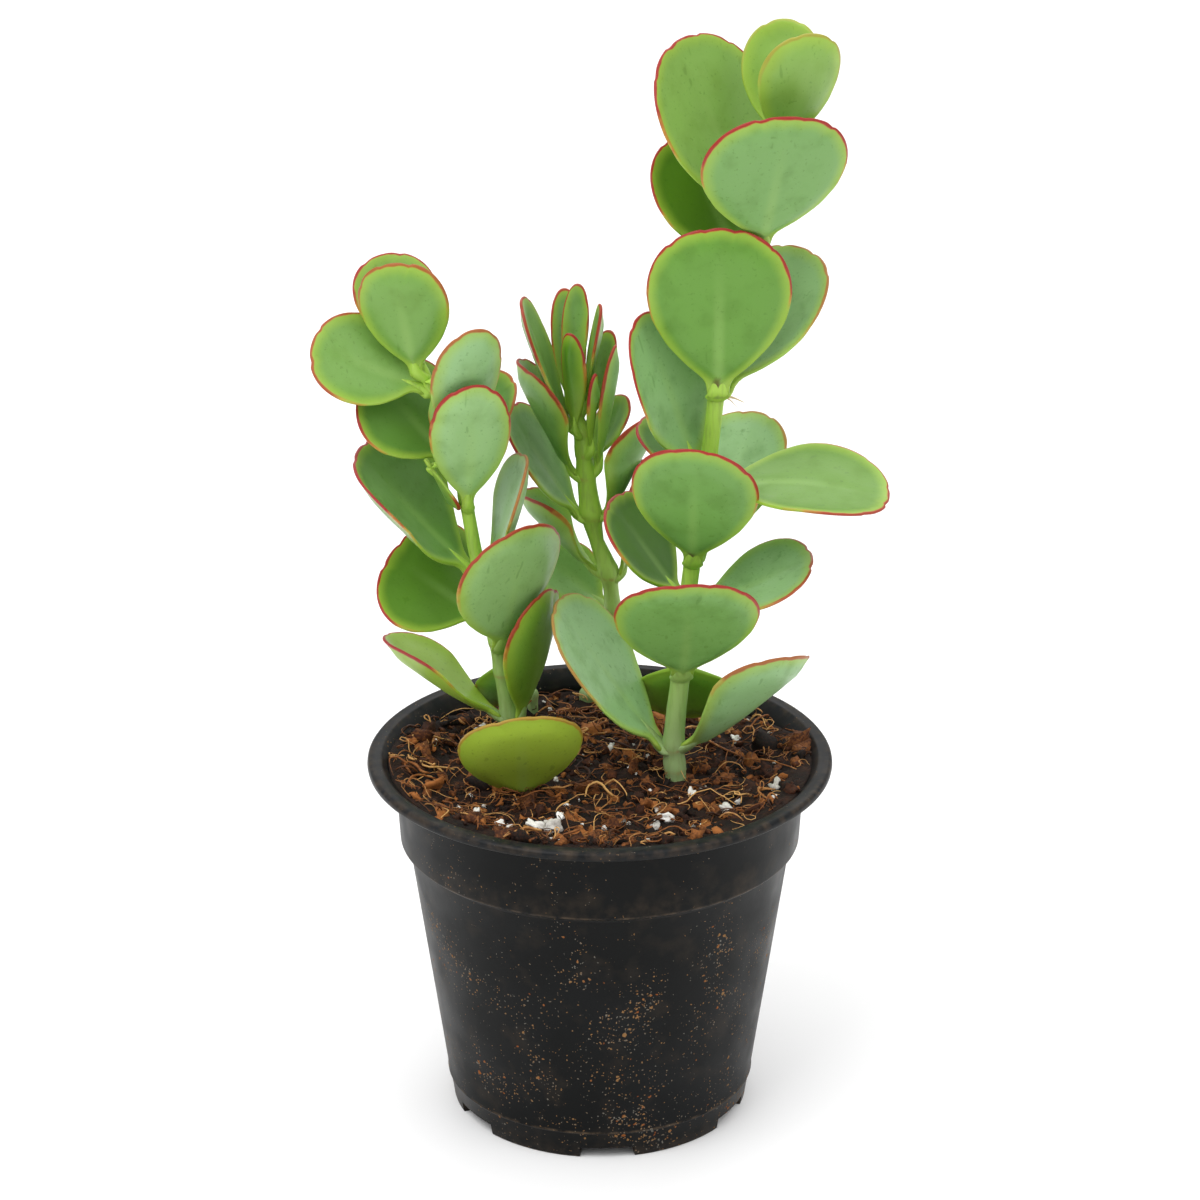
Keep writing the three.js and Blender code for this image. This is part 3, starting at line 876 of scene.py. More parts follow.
@dataclass
class Leaf:
    """One fleshy leaf: an obovate blade with a rounded, gently lobed margin that narrows to a thick foot."""

    name: str
    look: LeafLook
    seed: int
    foot_mm: float = 1.2
    flesh_mm: float = 2.0
    margin_mm: float = 0.95
    lobe_mm: float = 11.0
    notch_mm: float = 0.6
    groove_mm: float = 1.3
    groove_depth_mm: float = 0.35
    side_rows: int = 20
    tip_rows: int = 26
    widest: float = 0.59
    spine_pull: float = 0.3
    breadth: tuple[tuple[float, float], ...] = (
        (0.0, 0.15),
        (0.08, 0.18),
        (0.17, 0.45),
        (0.29, 0.72),
        (0.43, 0.92),
        (0.52, 0.98),
    )
    near_margin: tuple[float, ...] = (1, 0.82, 0.62, 0.43, 0.27, 0.16, 0.095, 0.055, 0.03, 0.014, 0.004, 0)

    def outline(self, leaf: LeafFrame) -> tuple[np.ndarray, np.ndarray]:
        """One side of the blade's edge, from foot to tip.

        Args:
            leaf: the CAD leaf's frame.

        Returns:
            Metres out from the midrib and metres along, one of each for every row.
        """
        fine = np.linspace(0, self.widest, 200)
        stations, breadths = zip(*self.breadth, (self.widest, 1.0))
        shares = np.interp(fine, stations, breadths)
        kernel = np.hanning(41)
        padded = np.concatenate([np.full(20, shares[0]), shares, 2 - shares[-2:-22:-1]])
        smooth = np.convolve(padded, kernel / kernel.sum(), "valid")
        t_low = np.linspace(0, self.widest, self.side_rows, endpoint=False)
        swing = np.linspace(0, math.pi / 2, self.tip_rows)
        power = 2 / 2.15
        t_high = self.widest + (1 - self.widest) * np.sin(swing) ** power
        out = np.concatenate([np.interp(t_low, fine, smooth), np.cos(swing) ** power])
        out[-1] = 0
        t = np.concatenate([t_low, t_high])
        along = t * leaf.length
        along[0] = -self.foot_mm * MM
        return out * leaf.width, along

    def lobes(
        self, out: np.ndarray, along: np.ndarray, leaf: LeafFrame, side: int
    ) -> tuple[np.ndarray, np.ndarray]:
        """The edge with its shallow lobes.

        Args:
            out: metres out from the midrib.
            along: metres along.
            leaf: the CAD leaf's frame.
            side: 0 for the left edge, 1 for the right.

        Returns:
            The edge moved inwards at each notch.
        """
        luck = np.random.default_rng(self.seed * 2 + side)
        steps = np.hypot(np.diff(out), np.diff(along))
        from_tip = np.concatenate([np.cumsum(steps[::-1])[::-1], [0.0]])
        dent = np.zeros_like(out)
        spot = self.lobe_mm * MM * luck.uniform(0.35, 0.6)
        while spot < 0.5 * leaf.length:
            gap = from_tip - spot
            width = np.where(gap > 0, 0.6, 1.7) * MM
            fade = 1 - ramp(spot / leaf.length, 0.3, 0.55)
            dent += luck.uniform(0.5, 1.0) * fade * np.exp(-((gap / width) ** 2))
            spot += self.lobe_mm * MM * luck.uniform(0.8, 1.25)
        dent *= self.notch_mm * MM * min(1.0, (leaf.width / (12 * MM)) ** 2)
        tangent = np.stack([np.gradient(out), np.gradient(along)], axis=-1)
        inward = unit(np.stack([-tangent[:, 1], tangent[:, 0]], axis=-1))
        inward[-1] = (0, -1)
        return out + inward[:, 0] * dent, along + inward[:, 1] * dent

    def build(self, material: bpy.types.Material) -> bpy.types.Object:
        """Builds the leaf round its CAD frame.

        Args:
            material: the leaf's finish.

        Returns:
            The leaf, settled on the plant.
        """
        leaf = LeafFrame("leaf_" + self.name)
        out, along = self.outline(leaf)
        edges = [self.lobes(out, along, leaf, side) for side in (0, 1)]
        left = np.stack(edges[0], axis=-1)
        right = np.stack([-edges[1][0], edges[1][1]], axis=-1)
        tip = (left[-1] + right[-1]) / 2
        tip[0] = 0
        rim = np.vstack([left[:-1], tip, right[-2::-1]])
        t = np.clip(np.concatenate([along, along[-2::-1]]) / leaf.length, 0, 1)
        spine = np.stack([np.zeros_like(t), leaf.length * (t - self.spine_pull * t**3)], axis=-1)
        spine[0, 1] = spine[-1, 1] = -self.foot_mm * MM
        inset = np.array(self.near_margin)
        flat = rim[:, None] + (spine - rim)[:, None] * inset[None, :, None]
        span = np.linalg.norm(rim - spine, axis=1)[:, None] * inset[None, :]
        flesh = self.flesh(span, flat[..., 1] / leaf.length)
        sag = -0.5 * self.flesh_mm * MM * ramp(span, 0, 6 * MM)
        wave = self.waves(flat, leaf)
        groove = -self.groove_depth_mm * MM * np.exp(-((flat[..., 0] / (self.groove_mm * MM)) ** 2))
        groove *= ramp(flat[..., 1] / leaf.length, 1.0, 0.5)
        top = leaf.place(flat[..., 0], flat[..., 1], sag + flesh + wave + groove)
        under = leaf.place(flat[..., 0], flat[..., 1], sag - flesh + wave + 0.4 * groove)
        rows, columns = flat.shape[:2]
        points = np.concatenate([top.reshape(-1, 3), under.reshape(-1, 3)])
        faces = self.faces(rows, columns)
        shared = {
            "margin_mm": span / MM,
            "along": flat[..., 1] / leaf.length,
            "rib_mm": np.abs(flat[..., 0]) / MM,
            "blemish": self.blemish(flat),
        }
        values = {name: np.tile(numbers.reshape(-1), 2) for name, numbers in shared.items()}
        # per-leaf shares; the second one is painted shade
        for name in ("tone", "painted_shade", "sun", "blush"):
            values[name] = np.full(len(points), getattr(self.look, name))
        piece = mesh_piece("jade_leaf_" + self.name, points, faces, material, values)
        weld(piece, 2e-6)
        return settle(piece, Slot.LEAF, "leaf_" + self.name)

    def flesh(self, span: np.ndarray, t: np.ndarray) -> np.ndarray:
        """Half the blade's thickness by distance from the margin: round at the edge, plump in the middle."""
        edge = self.margin_mm / 2 * MM
        shoulder = np.clip(span / (1.6 * edge), 0, 1)
        rounded = edge * np.sqrt(1 - (1 - shoulder) ** 2)
        plump = (self.flesh_mm / 2 * MM - edge) * ramp(span, 0.4 * MM, 7 * MM)
        foot = 1 + 0.5 * ramp(t, 0.3, 0.02)
        return (rounded + plump) * foot

    def waves(self, flat: np.ndarray, leaf: LeafFrame) -> np.ndarray:
        """A slight unevenness of the blade, so that no two leaves are bent alike."""
        luck = np.random.default_rng(self.seed + 900)
        phase = luck.uniform(0, 2 * math.pi, 3)
        x, y = flat[..., 0] / leaf.width, flat[..., 1] / leaf.length
        wave = np.sin(2.6 * x + phase[0]) * np.sin(4.2 * y + phase[1])
        wave += 0.5 * np.sin(5 * x - 3 * y + phase[2])
        return 0.32 * MM * wave * ramp(y, 0.15, 0.5) * min(1.0, leaf.width / (10 * MM))

    def blemish(self, flat: np.ndarray) -> np.ndarray:
        """The brown spot near the foot, where the leaf has one."""
        if self.look.spot is None:
            return np.zeros(flat.shape[:2])
        gap = np.hypot(flat[..., 0] + 0.4 * MM, flat[..., 1] - self.look.spot * MM)
        return 0.9 * ramp(gap, 1.5 * MM, 0.7 * MM)

    def faces(self, rows: int, columns: int) -> list[tuple[int, ...]]:
        """Quads over the top and the underside, and across the foot.

        Args:
            rows: rows from the left of the foot round to the right.
            columns: points from the spine out to the margin.

        Returns:
            The faces.
        """
        made: list[tuple[int, ...]] = []
        under = rows * columns
        for row in range(rows - 1):
            for column in range(columns - 1):
                a = row * columns + column
                b = a + columns
                made.append((a, a + 1, b + 1, b))
                made.append((under + a, under + b, under + b + 1, under + a + 1))
        for row in (0, rows - 1):
            for column in range(columns - 1):
                a = row * columns + column
                made.append((a, a + 1, under + a + 1, under + a))
        return made


@dataclass
class Foliage:
    """All the leaves."""

    plain: LeafLook = field(default_factory=lambda: LeafLook(0.45, 0.1, 0.05, 0.9))

    def build(self) -> dict[str, LeafFrame]:
        """Builds every leaf.

        Returns:
            Each leaf's frame by name, for the stems to join on to.
        """
        material = WaxyLeafSkin().material()
        names = sorted(n[len("leaf_") :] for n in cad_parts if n.startswith("leaf_"))
        for number, name in enumerate(names):
            Leaf(name, LEAF_LOOKS.get(name, self.plain), 40 + number).build(material)
        return {name: LeafFrame("leaf_" + name) for name in names}


@dataclass
class Stems:
    """Every stem with its joints, leaf stalks and ring scars, and a dry root on the tallest one."""

    leaves: dict[str, LeafFrame]
    sides: int = 28
    ring_mm: float = 0.8
    swell_mm: float = 0.3
    joint_mm: float = 2.0
    scar_mm: float = 0.4
    same_joint_mm: float = 4.5
    drop_mm: float = 0.8
    steep_drop_mm: float = 2.6
    least_stalk_mm: float = 1.1
    old_below: float = 0.135
    stalk_rings: int = 12
    stalk_sides: int = 16
    bare_scars: tuple[tuple[str, float], ...] = (("back", 0.103), ("right", 0.101), ("left", 0.1015))

    def build(self) -> None:
        """Builds the stems one by one, then the root."""
        material = PaleStemSkin().material()
        for name in sorted(n[len("stem_") :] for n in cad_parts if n.startswith("stem_")):
            self.stem(name, material)
        self.soil_stalk(material)
        self.dry_root()

    def joints(self, name: str, stem: StemFrame) -> list[float]:
        """Heights of a stem's joints, one for each pair of leaves and one for each bare scar."""
        own = [leaf for key, leaf in self.leaves.items() if key.startswith(name + "_")]
        heights = sorted(float(leaf.middle[0][2]) for leaf in own)
        joints: list[float] = [z for owner, z in self.bare_scars if owner == name]
        for z in heights:
            if not joints or z - joints[-1] > self.same_joint_mm * MM:
                joints.append(min(z, float(stem.heights[-1])))
        return joints

    def stem(self, name: str, material: bpy.types.Material) -> None:
        """Builds one stem.

        Args:
            name: the stem's name after its prefix.
            material: its finish.
        """
        stem = StemFrame(name)
        joints = self.joints(name, stem)
        low, high = float(stem.heights[0]), float(stem.heights[-1])
        count = max(8, round((high - low) / (self.ring_mm * MM)))
        z = np.linspace(low, high, count)
        angle = np.linspace(0, 2 * math.pi, self.sides, endpoint=False)
        radius = np.repeat(stem.radius(z)[:, None], self.sides, axis=1)
        scar = np.zeros_like(radius)
        for number, joint in enumerate(joints):
            wobble = 0.35 * MM * np.sin(angle + number * 1.9)
            gap = z[:, None] - joint - wobble[None, :]
            radius += self.swell_mm * MM * np.exp(-((gap / (self.joint_mm * MM)) ** 2))
            ring = np.exp(-(((gap + 1.5 * MM) / (self.scar_mm * MM)) ** 2))
            radius += 0.12 * MM * ring
            scar += ring
        radius *= 1 + 0.02 * np.sin(3 * angle[None, :] + z[:, None] * 60)
        ends = np.minimum((high - z) / (2.2 * MM), 1)
        radius *= np.sqrt(np.clip(1 - (1 - np.clip(ends, 0, 1)) ** 2, 0.09, 1))[:, None]
        centre = stem.centre(z)
        points = centre[:, None] + np.stack(
            [radius * np.cos(angle), radius * np.sin(angle), np.zeros_like(radius)], axis=-1
        )
        clouds = [points.reshape(-1, 3)]
        faces = tube_faces(count, self.sides)
        scars = [scar.reshape(-1)]
        for key, leaf in self.leaves.items():
            if key.startswith(name + "_"):
                stalk = self.stalk(leaf, self.root(leaf, stem), stem)
                faces += tube_faces(self.stalk_rings, self.stalk_sides, sum(len(c) for c in clouds))
                clouds.append(stalk)
                scars.append(np.zeros(len(stalk)))
        cloud = np.concatenate(clouds)
        age = ramp(cloud[:, 2], self.old_below + 0.03, self.old_below - 0.04)
        if name == "stub":
            age = np.ones(len(cloud))
        values = {"age": age, "scar": np.concatenate(scars)}
        piece = mesh_piece("jade_stem_" + name, cloud, faces, material, values)
        settle(piece, Slot.STEM, "stem_" + name)

    def root(self, leaf: LeafFrame, stem: StemFrame) -> np.ndarray:
        """Where a leaf's stalk starts on the stem's centre line: lower down for a steeper leaf."""
        start, ahead = leaf.at(leaf.line_fit, np.array([0.0, 0.1]))
        steep = max(0.0, float(unit(ahead - start)[2]))
        joint = min(float(start[2]), float(stem.heights[-1]))
        return stem.centre(joint - (self.drop_mm + self.steep_drop_mm * steep) * MM)

    def stalk(self, leaf: LeafFrame, root: np.ndarray, stem: StemFrame | None) -> np.ndarray:
        """A leaf's stalk, from inside the stem to inside the blade.

        Args:
            leaf: the leaf's frame.
            root: the point that it grows from.
            stem: the stem that it grows from, or None for the leaf in the soil.

        Returns:
            The rings of its surface.
        """
        blade = leaf.at(leaf.line_fit, np.array([0.0, 0.09, 0.19]))
        sunk = leaf.up[0] * -0.5 * MM
        line = np.vstack([root, (root + blade[0] + sunk) / 2, blade + sunk])
        stations = np.linspace(0, 4, self.stalk_rings)
        path = np.stack([np.interp(stations, range(5), line[:, axis]) for axis in range(3)], axis=-1)
        path[1:-1] = (path[:-2] + 2 * path[1:-1] + path[2:]) / 4
        foot = max(0.15 * leaf.width + 0.15 * MM, self.least_stalk_mm * MM)
        thick = float(stem.radius(root[2])) if stem else 1.2 * MM
        breadths = [0.75 * thick, foot + 0.3 * MM, 0.92 * foot, 0.5 * foot, 0.12 * foot]
        wide = np.interp(stations, range(5), breadths)
        deep = np.interp(stations, range(5), [1.7 * MM, 1.6 * MM, 1.35 * MM, 1.0 * MM, 0.3 * MM])
        left, up = leaf.left[0], leaf.up[0]
        angle = np.linspace(0, 2 * math.pi, self.stalk_sides, endpoint=False)
        ring = np.cos(angle)[None, :, None] * left * wide[:, None, None]
        ring = ring + np.sin(angle)[None, :, None] * up * deep[:, None, None]
        return (path[:, None] + ring).reshape(-1, 3)

    def soil_stalk(self, material: bpy.types.Material) -> None:
        """Builds the short stalk under the leaf that stands in the soil."""
        leaf = self.leaves["soil"]
        cloud = self.stalk(leaf, leaf.middle[0] - np.array([0, 0, 3.5 * MM]), None)
        faces = tube_faces(self.stalk_rings, self.stalk_sides)
        values = {"age": np.full(len(cloud), 0.3), "scar": np.zeros(len(cloud))}
        settle(mesh_piece("jade_stalk_soil", cloud, faces, material, values), Slot.STEM)

    def dry_root(self) -> None:
        """Builds the two dry root spikes beside the tallest stem's joint."""
        stem = StemFrame("right")
        start = stem.centre(0.2065)
        strands = ((6.2, -0.8, 0.42, 0.0), (4.6, -2.2, 0.3, 0.5))
        clouds, faces = [], []
        for length, drop, thick, lean in strands:
            steps = np.linspace(0, 1, 10)
            fall = drop * steps**1.5 + 0.5 * np.sin(4 * steps)
            path = start + MM * np.stack([1.2 + length * steps, -lean * steps, fall], axis=-1)
            angle = np.linspace(0, 2 * math.pi, 8, endpoint=False)
            ring = np.stack([np.zeros(8), np.cos(angle), np.sin(angle)], axis=-1)
            radius = thick * MM * (1.25 - steps)
            faces += tube_faces(10, 8, sum(len(c) for c in clouds))
            clouds.append((path[:, None] + ring[None] * radius[:, None, None]).reshape(-1, 3))
        cloud = np.concatenate(clouds)
        values = {"tone": np.full(len(cloud), 0.5)}
        settle(mesh_piece("dry_root", cloud, faces, DRY_ROOT.material(), values), Slot.STEM)


# ---------------------------------------------------------------- soil


@dataclass
class Compost:
    """Coir compost: an uneven bed, husk chips, curly fibres and perlite grains, all inside the pot's wall."""

    level: float = 0.0966
    reach: float = 0.0578
    back_inset_mm: float = 3.3
    heap_mm: float = 4.5
    rings: int = 70
    sectors: int = 220
    chips: int = 1000
    fibres: int = 760
    crumbs: int = 170
    perlite_spots: tuple[tuple[float, float, float], ...] = (
        (-33.0, -27.0, 3.2),
        (-27.0, -33.5, 2.4),
        (-24.0, -38.0, 2.6),
        (-17.0, -36.5, 3.6),
        (-12.5, -36.0, 3.9),
        (-10.5, -32.0, 2.2),
        (16.0, -25.0, 2.2),
        (17.5, -31.0, 3.2),
        (14.5, -34.0, 2.6),
        (25.0, -17.0, 3.4),
        (28.0, -13.5, 2.4),
        (34.0, -24.0, 3.2),
        (47.5, -17.0, 3.4),
        (-46.0, 15.0, 3.0),
        (2.0, 40.0, 3.2),
        (9.0, 34.0, 2.4),
        (3.0, 14.0, 2.4),
        (38.0, 22.0, 2.6),
        (-33.0, 28.0, 2.8),
        (23.0, 40.0, 2.6),
    )

    def height(self, x: float, y: float) -> float:
        """The bed's height at a place, in metres."""
        place = Vector((x, y, 0.0))
        broad = noise.noise(place * per_metre(17.0))
        lumps = noise.noise(place * per_metre(6.0) + Vector((5, 1, 2)))
        fine = noise.noise(place * per_metre(2.2) + Vector((9, 4, 7)))
        grit = noise.noise(place * per_metre(1.1) + Vector((2, 8, 3)))
        r = np.hypot(x, y)
        heap = self.heap_mm * ramp(r, 0.042, 0.056) * (1 - 0.7 * ramp(np.float64(y), 0.015, 0.045))
        calm = 1 - 0.75 * ramp(r, 0.05, 0.056)
        return float(self.level + (heap + calm * (1.3 * broad + 1.5 * lumps + 0.8 * fine + 0.45 * grit)) * MM)

    def edge(self, angle: np.ndarray) -> np.ndarray:
        """How far the bed reaches at an angle: up on the lip's inner slope all round but at the back."""
        return self.reach - self.back_inset_mm * MM * ramp(np.sin(angle), 0.15, 0.5)

    def build(self) -> None:
        """Builds the bed and what lies on it."""
        self.bed()
        self.husk_chips()
        self.curly_fibres()
        self.perlite()

    def bed(self) -> None:
        """Builds the plug of compost with its uneven top, inside the CAD plug's outline."""
        points, _ = welded("soil")
        low = float(points[:, 2].min())
        bottom_radius = float(np.hypot(*points[points[:, 2] < low + 0.5 * MM][:, :2].T).max())
        angle = np.linspace(0, 2 * math.pi, self.sectors, endpoint=False)
        cloud = []
        for share in np.linspace(0.006, 1, self.rings):
            for a, r in zip(angle, share * self.edge(angle)):
                x, y = r * math.cos(a), r * math.sin(a)
                cloud.append((x, y, self.height(x, y)))
        skirt = ((0.0539, 0.0975), (0.053, 0.081), (0.0498, 0.077), (bottom_radius + 0.5 * MM, low + 3 * MM))
        for r, z in (*skirt, (bottom_radius, low)):
            cloud += [(r * math.cos(a), r * math.sin(a), z) for a in angle]
        faces = tube_faces(self.rings + 5, self.sectors)
        luck = [0.5 + 0.5 * noise.noise(Vector(p) * per_metre(4.0)) for p in cloud]
        values = {"tone": np.array(luck) - 0.15}
        piece = mesh_piece("compost_bed", np.array(cloud), faces, COIR_DUST.material(), values)
        weld(piece, 1e-6)
        settle(piece, Slot.SOIL, "soil")

    def spots(self, luck: np.random.Generator, count: int, inset: float) -> np.ndarray:
        """Places spread evenly over the bed.

        Args:
            luck: the seeded random numbers.
            count: how many.
            inset: how far to stay inside the bed's edge, in metres.

        Returns:
            One row of x, y, z for each, on the bed's top.
        """
        share = np.sqrt(luck.uniform(0, 1, count))
        a = luck.uniform(0, 2 * math.pi, count)
        r = share * (self.edge(a) - inset)
        x, y = r * np.cos(a), r * np.sin(a)
        return np.array([(px, py, self.height(px, py)) for px, py in zip(x, y)])

    def lumps(
        self,
        luck: np.random.Generator,
        places: np.ndarray,
        sizes: np.ndarray,
        flat: tuple[float, float],
        rough: float,
        detail: int,
    ) -> tuple[np.ndarray, list[tuple[int, ...]], int]:
        """Irregular grains.

        Args:
            luck: the seeded random numbers.
            places: where each one lies.
            sizes: half of each one's length, in metres.
            flat: the least and most of each one's width and depth, as shares of its length.
            rough: how far its surface strays, as a share of its size.
            detail: how often its shape is divided.

        Returns:
            All points, all faces, and how many points a grain has.
        """
        work = bmesh.new()
        bmesh.ops.create_icosphere(work, subdivisions=detail, radius=1.0)
        base = np.array([v.co for v in work.verts])
        shape = [tuple(v.index for v in f.verts) for f in work.faces]
        work.free()
        clouds, faces = [], []
        for number, (place, size) in enumerate(zip(places, sizes)):
            turn = np.linalg.qr(luck.normal(size=(3, 3)))[0]
            scale = np.array([1.0, luck.uniform(*flat), luck.uniform(*flat)])
            shift = Vector(luck.uniform(-50, 50, 3))
            swell = np.array([1 + rough * noise.noise(Vector(v) * 1.5 + shift) for v in base])
            grain = (base * swell[:, None] * scale) @ turn.T * size
            clouds.append(grain + place)
            faces += [tuple(v + number * len(base) for v in face) for face in shape]
        return np.concatenate(clouds), faces, len(base)

    def husk_chips(self) -> None:
        """Scatters broken husk chips and small crumbs over the bed."""
        luck = np.random.default_rng(11)
        places = self.spots(luck, self.chips, 1.5 * MM)
        sizes = np.clip(luck.lognormal(math.log(1.25), 0.5, self.chips), 0.45, 4.2) * MM
        places[:, 2] += luck.uniform(-0.5, 0.5, self.chips) * MM
        cloud, faces, each = self.lumps(luck, places, sizes, (0.35, 0.8), 1.1, 2)
        tone = np.repeat(np.clip(luck.normal(0.45, 0.42, self.chips), 0, 1.1), each)
        settle(mesh_piece("husk_chips", cloud, faces, COIR_CHIP.material(), {"tone": tone}), Slot.SOIL)

    def strand(self, luck: np.random.Generator, place: np.ndarray, length: float, thick: float) -> np.ndarray:
        """One curly fibre's rings.

        Args:
            luck: the seeded random numbers.
            place: where it starts.
            length: its length, in metres.
            thick: its radius, in metres.

        Returns:
            The rings of its surface, eleven of five points.
        """
        heading = luck.uniform(0, 2 * math.pi)
        curl = luck.normal(0, 2.2)
        curl_more = luck.normal(0, 2.0)
        lift = luck.uniform(0.4, 1.6) * MM + thick
        arch = luck.uniform(-0.3, 2.6) * MM
        steps = np.linspace(0, 1, 11)
        turn = heading + curl * steps + curl_more * np.sin(steps * 5)
        ahead = np.stack([np.cos(turn), np.sin(turn)], axis=-1) * length / 10
        flat = place[:2] + np.cumsum(ahead, axis=0) - ahead[0]
        far = np.linalg.norm(flat, axis=1)
        limit = self.edge(np.arctan2(flat[:, 1], flat[:, 0])) - 0.3 * MM
        flat *= np.minimum(1, limit / np.maximum(far, 1e-9))[:, None]
        ground = np.array([self.height(px, py) for px, py in flat])
        ground = (ground + ground.mean()) / 2
        z = ground + lift + arch * np.sin(math.pi * steps)
        path = np.column_stack([flat, z])
        along = unit(np.gradient(path, axis=0))
        side = unit(np.cross(along, (0, 0, 1.0)))
        over = np.cross(side, along)
        angle = np.linspace(0, 2 * math.pi, 5, endpoint=False)
        radius = thick * (1.15 - 0.75 * np.abs(steps - 0.35))
        ring = np.cos(angle)[None, :, None] * side[:, None] + np.sin(angle)[None, :, None] * over[:, None]
        return (path[:, None] + ring * radius[:, None, None]).reshape(-1, 3)

    def curly_fibres(self) -> None:
        """Scatters curly fibres over the bed, a few of them on the rim."""
        luck = np.random.default_rng(23)
        places = self.spots(luck, self.fibres, 1.0 * MM)
        clouds, faces, tones = [], [], []
        for number, place in enumerate(places):
            length = float(np.clip(luck.lognormal(math.log(9), 0.5), 3, 30)) * MM
            thick = float(np.clip(luck.lognormal(math.log(0.13), 0.5), 0.06, 0.4)) * MM
            clouds.append(self.strand(luck, place, length, thick))
            faces += tube_faces(11, 5, number * 55)
            tones.append(np.full(55, np.clip(luck.normal(0.38, 0.36), -0.2, 1.1)))
        values = {"tone": np.concatenate(tones)}
        piece = mesh_piece("coir_fibres", np.concatenate(clouds), faces, COIR_FIBRE.material(), values)
        settle(piece, Slot.SOIL)

    def perlite(self) -> None:
        """Sets white perlite grains on the bed, most of them near the front."""
        luck = np.random.default_rng(37)
        x, y, size = np.array(self.perlite_spots).T * MM
        places = np.array([(a, b, self.height(a, b) + 0.9 * MM) for a, b in zip(x, y)])
        small = self.spots(luck, self.crumbs, 2 * MM)
        keep = luck.uniform(0, 1, len(small)) < np.where(small[:, 1] < 0, 0.6, 0.25)
        small = small[keep] + np.array([0, 0, 0.4 * MM])
        places = np.concatenate([places, small])
        sizes = np.concatenate([size * 0.62, luck.uniform(0.3, 0.85, len(small)) * MM])
        cloud, faces, each = self.lumps(luck, places, sizes, (0.55, 0.85), 1.0, 3)
        tone = np.repeat(np.clip(luck.normal(0.6, 0.25, len(places)), 0.1, 1), each)
        settle(mesh_piece("perlite_grains", cloud, faces, PERLITE.material(), {"tone": tone}), Slot.SOIL)


# ---------------------------------------------------------------- the pot


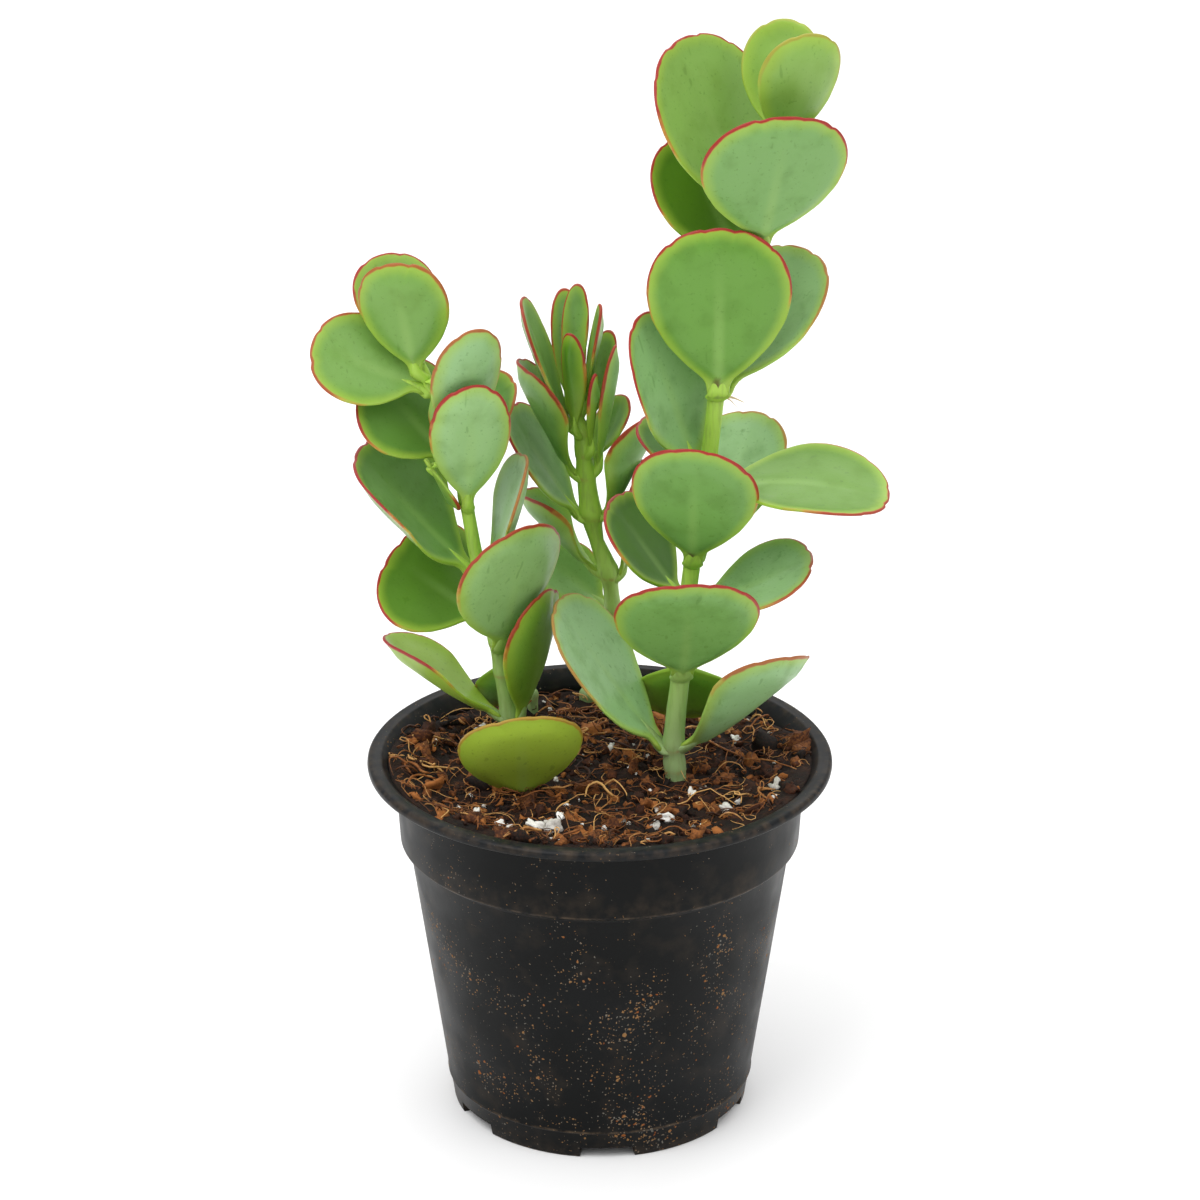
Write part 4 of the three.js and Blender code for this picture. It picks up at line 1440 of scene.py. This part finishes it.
@dataclass
class NurseryPot:
    """Thin-walled round nursery pot: rolled lip, straight collar, tapered wall, notched and drained foot."""

    height: float = 103.0
    lip_radius: float = 63.5
    lip_inner: float = 59.6
    lip_depth: float = 2.7
    collar_top: float = 56.2
    collar_bottom: float = 54.8
    collar_height: float = 23.4
    shoulder: float = 52.4
    foot_line: float = 42.5
    foot_line_height: float = 8.4
    foot_radius: float = 41.0
    foot_inner: float = 38.4
    floor_height: float = 5.2
    wall: float = 1.4
    segments: int = 240
    notch_width: float = 15.0
    notch_height: float = 3.2
    first_notch: float = -87.0
    notches: int = 6
    drain_radius: float = 4.0
    drain_circle: float = 27.0

    def profile(self) -> list[tuple[float, float, float]]:
        """The section from the inside of the foot round the outside and back, as radius, height and wear."""
        top, under = self.height, self.height - self.lip_depth
        foot = self.height - self.collar_height
        rise = foot - 2 - self.foot_line_height
        low_inside = self.floor_height + 4
        low_radius = self.foot_line - self.wall
        low_radius += (self.shoulder - self.foot_line) * (low_inside - self.foot_line_height) / rise
        section = [
            (self.foot_inner, 0.0, 0.4),
            (self.foot_radius - 0.5, 0.0, 0.6),
            (self.foot_radius - 0.1, 0.15, 0.7),
            (self.foot_radius + 0.05, 0.5, 0.3),
            (self.foot_radius + 0.45, self.notch_height, 0.1),
            (self.foot_line - 0.35, self.foot_line_height - 0.8, 0.0),
            (self.foot_line - 0.2, self.foot_line_height - 0.35, 0.2),
            (self.foot_line + 0.2, self.foot_line_height - 0.1, 1.0),
            (self.foot_line + 0.22, self.foot_line_height + 0.15, 1.0),
            (self.foot_line + 0.05, self.foot_line_height + 0.6, 0.0),
        ]
        for share in (0.2, 0.4, 0.6, 0.8):
            radius = self.foot_line + (self.shoulder - self.foot_line) * share
            section.append((radius, self.foot_line_height + 0.6 + (rise - 0.6) * share, 0.0))
        section += [
            (self.shoulder - 0.05, foot - 2.2, 0.0),
            (self.shoulder + 0.2, foot - 1.5, 0.1),
            (self.shoulder + 1.1, foot - 0.9, 0.2),
            (self.collar_bottom - 0.35, foot - 0.35, 0.6),
            (self.collar_bottom, foot, 1.0),
            (self.collar_bottom + 0.05, foot + 0.5, 0.2),
            (self.collar_bottom + 0.5, foot + 8, 0.0),
            (self.collar_top - 0.5, under - 3, 0.0),
            (self.collar_top - 0.25, under - 1.4, 0.15),
            (self.collar_top + 0.2, under - 0.5, 0.1),
            (self.collar_top + 1.0, under - 0.1, 0.0),
            (self.lip_radius - 1.3, under, 0.0),
            (self.lip_radius - 0.55, under + 0.1, 0.0),
            (self.lip_radius - 0.12, under + 0.5, 0.15),
            (self.lip_radius, under + 1.1, 0.3),
            (self.lip_radius - 0.1, top - 0.9, 0.4),
            (self.lip_radius - 0.5, top - 0.35, 0.5),
            (self.lip_radius - 1.2, top - 0.05, 0.4),
            (self.lip_inner + 1.2, top - 0.15, 0.1),
            (self.lip_inner + 0.3, top - 0.05, 0.3),
            (self.lip_inner - 0.2, top - 0.35, 0.4),
            (self.lip_inner - 1.0, top - 1.4, 0.1),
            (self.collar_top - self.wall + 0.4, under - 0.9, 0.0),
            (self.collar_top - self.wall, under - 1.8, 0.0),
            (self.collar_bottom - self.wall, foot + 0.4, 0.0),
            (self.shoulder - self.wall, foot - 1.6, 0.0),
            (low_radius, low_inside, 0.0),
            (low_radius - 1.4, self.floor_height + self.wall, 0.0),
            (0.4, self.floor_height + self.wall, 0.0),
            (0.4, self.floor_height, 0.0),
            (self.foot_inner - 0.6, self.floor_height, 0.0),
        ]
        return section

    def angles(self) -> np.ndarray:
        """Angles round the pot, with a close pair at each side of every notch."""
        half = self.notch_width / 2 / self.foot_radius
        slip = 0.12 / self.foot_radius
        even = np.linspace(0, 2 * math.pi, self.segments, endpoint=False)
        sides = [
            (math.radians(self.first_notch + i * 360 / self.notches) + side * half + step) % (2 * math.pi)
            for i in range(self.notches)
            for side in (-1, 1)
            for step in (-slip, slip)
        ]
        turns = (even[:, None] - np.array(sides) + math.pi) % (2 * math.pi) - math.pi
        clear = even[np.abs(turns).min(axis=1) > 4 * slip]
        return np.array(sorted([*clear, *sides]))

    def in_notch(self, angle: float) -> bool:
        """Whether an angle lies in one of the foot's notches."""
        pitch = 2 * math.pi / self.notches
        gap = (angle - math.radians(self.first_notch) + pitch / 2) % pitch - pitch / 2
        return abs(gap) < self.notch_width / 2 / self.foot_radius

    def build(self) -> None:
        """Turns the section, lifts the notches and cuts the drain holes."""
        section, angles = self.profile(), self.angles()
        cloud, wear = [], []
        for radius, z, worn in section:
            for angle in angles:
                lifted = self.notch_height + 0.25 * z if z < self.notch_height and self.in_notch(angle) else z
                cloud.append((radius * math.cos(angle), radius * math.sin(angle), lifted))
                wear.append(worn)
        count, around = len(section), len(angles)
        faces = []
        for i in range(count):
            for k in range(around):
                a, b = i * around + k, i * around + (k + 1) % around
                c, d = ((i + 1) % count) * around + (k + 1) % around, ((i + 1) % count) * around + k
                faces.append((a, b, c, d))
        low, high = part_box("pot")
        shift = (low + high) / 2
        points = np.array(cloud) * MM + np.array((shift.x, shift.y, 0.0))
        material = MouldedPolypropylene().material()
        pot = mesh_piece("nursery_pot", points, faces, material, {"wear": np.array(wear)})
        weld(pot, 1e-6)
        self.drain(pot)
        settle(pot, Slot.POT, "pot")

    def drain(self, pot: bpy.types.Object) -> None:
        """Cuts the drain holes through the floor.

        Args:
            pot: the turned pot.
        """
        work = bmesh.new()
        for i in range(self.notches):
            angle = math.radians(self.first_notch + i * 360 / self.notches)
            made = bmesh.ops.create_cone(
                work,
                cap_ends=True,
                segments=32,
                radius1=self.drain_radius * MM,
                radius2=self.drain_radius * MM,
                depth=4 * MM,
            )
            place = (self.drain_circle * math.cos(angle), self.drain_circle * math.sin(angle), 6)
            bmesh.ops.translate(work, verts=made["verts"], vec=MM * Vector(place))
        mesh = bpy.data.meshes.new("drain_cutter")
        work.to_mesh(mesh)
        work.free()
        cutter = bpy.data.objects.new("drain_cutter", mesh)
        bpy.context.scene.collection.objects.link(cutter)
        cut = pot.modifiers.new("drain", "BOOLEAN")
        cut.operation, cut.solver, cut.object = "DIFFERENCE", "EXACT", cutter
        bpy.context.view_layer.objects.active = pot
        with bpy.context.temp_override(object=pot, active_object=pot, selected_objects=[pot]):
            bpy.ops.object.modifier_apply(modifier=cut.name)
        bpy.data.objects.remove(cutter)
        edges = bmesh.new()
        edges.from_mesh(pot.data)
        for edge in edges.edges:
            if len(edge.link_faces) == 2 and edge.calc_face_angle(0) > math.radians(50):
                edge.smooth = False
        edges.to_mesh(pot.data)
        edges.free()


# ---------------------------------------------------------------- main


def main() -> None:
    """Builds everything in order."""
    logging.basicConfig(level=logging.INFO, format="%(name)s: %(message)s")
    Studio().build()
    NurseryPot().build()
    Compost().build()
    leaves = Foliage().build()
    Stems(leaves).build()


if __name__ == "__main__":
    main()
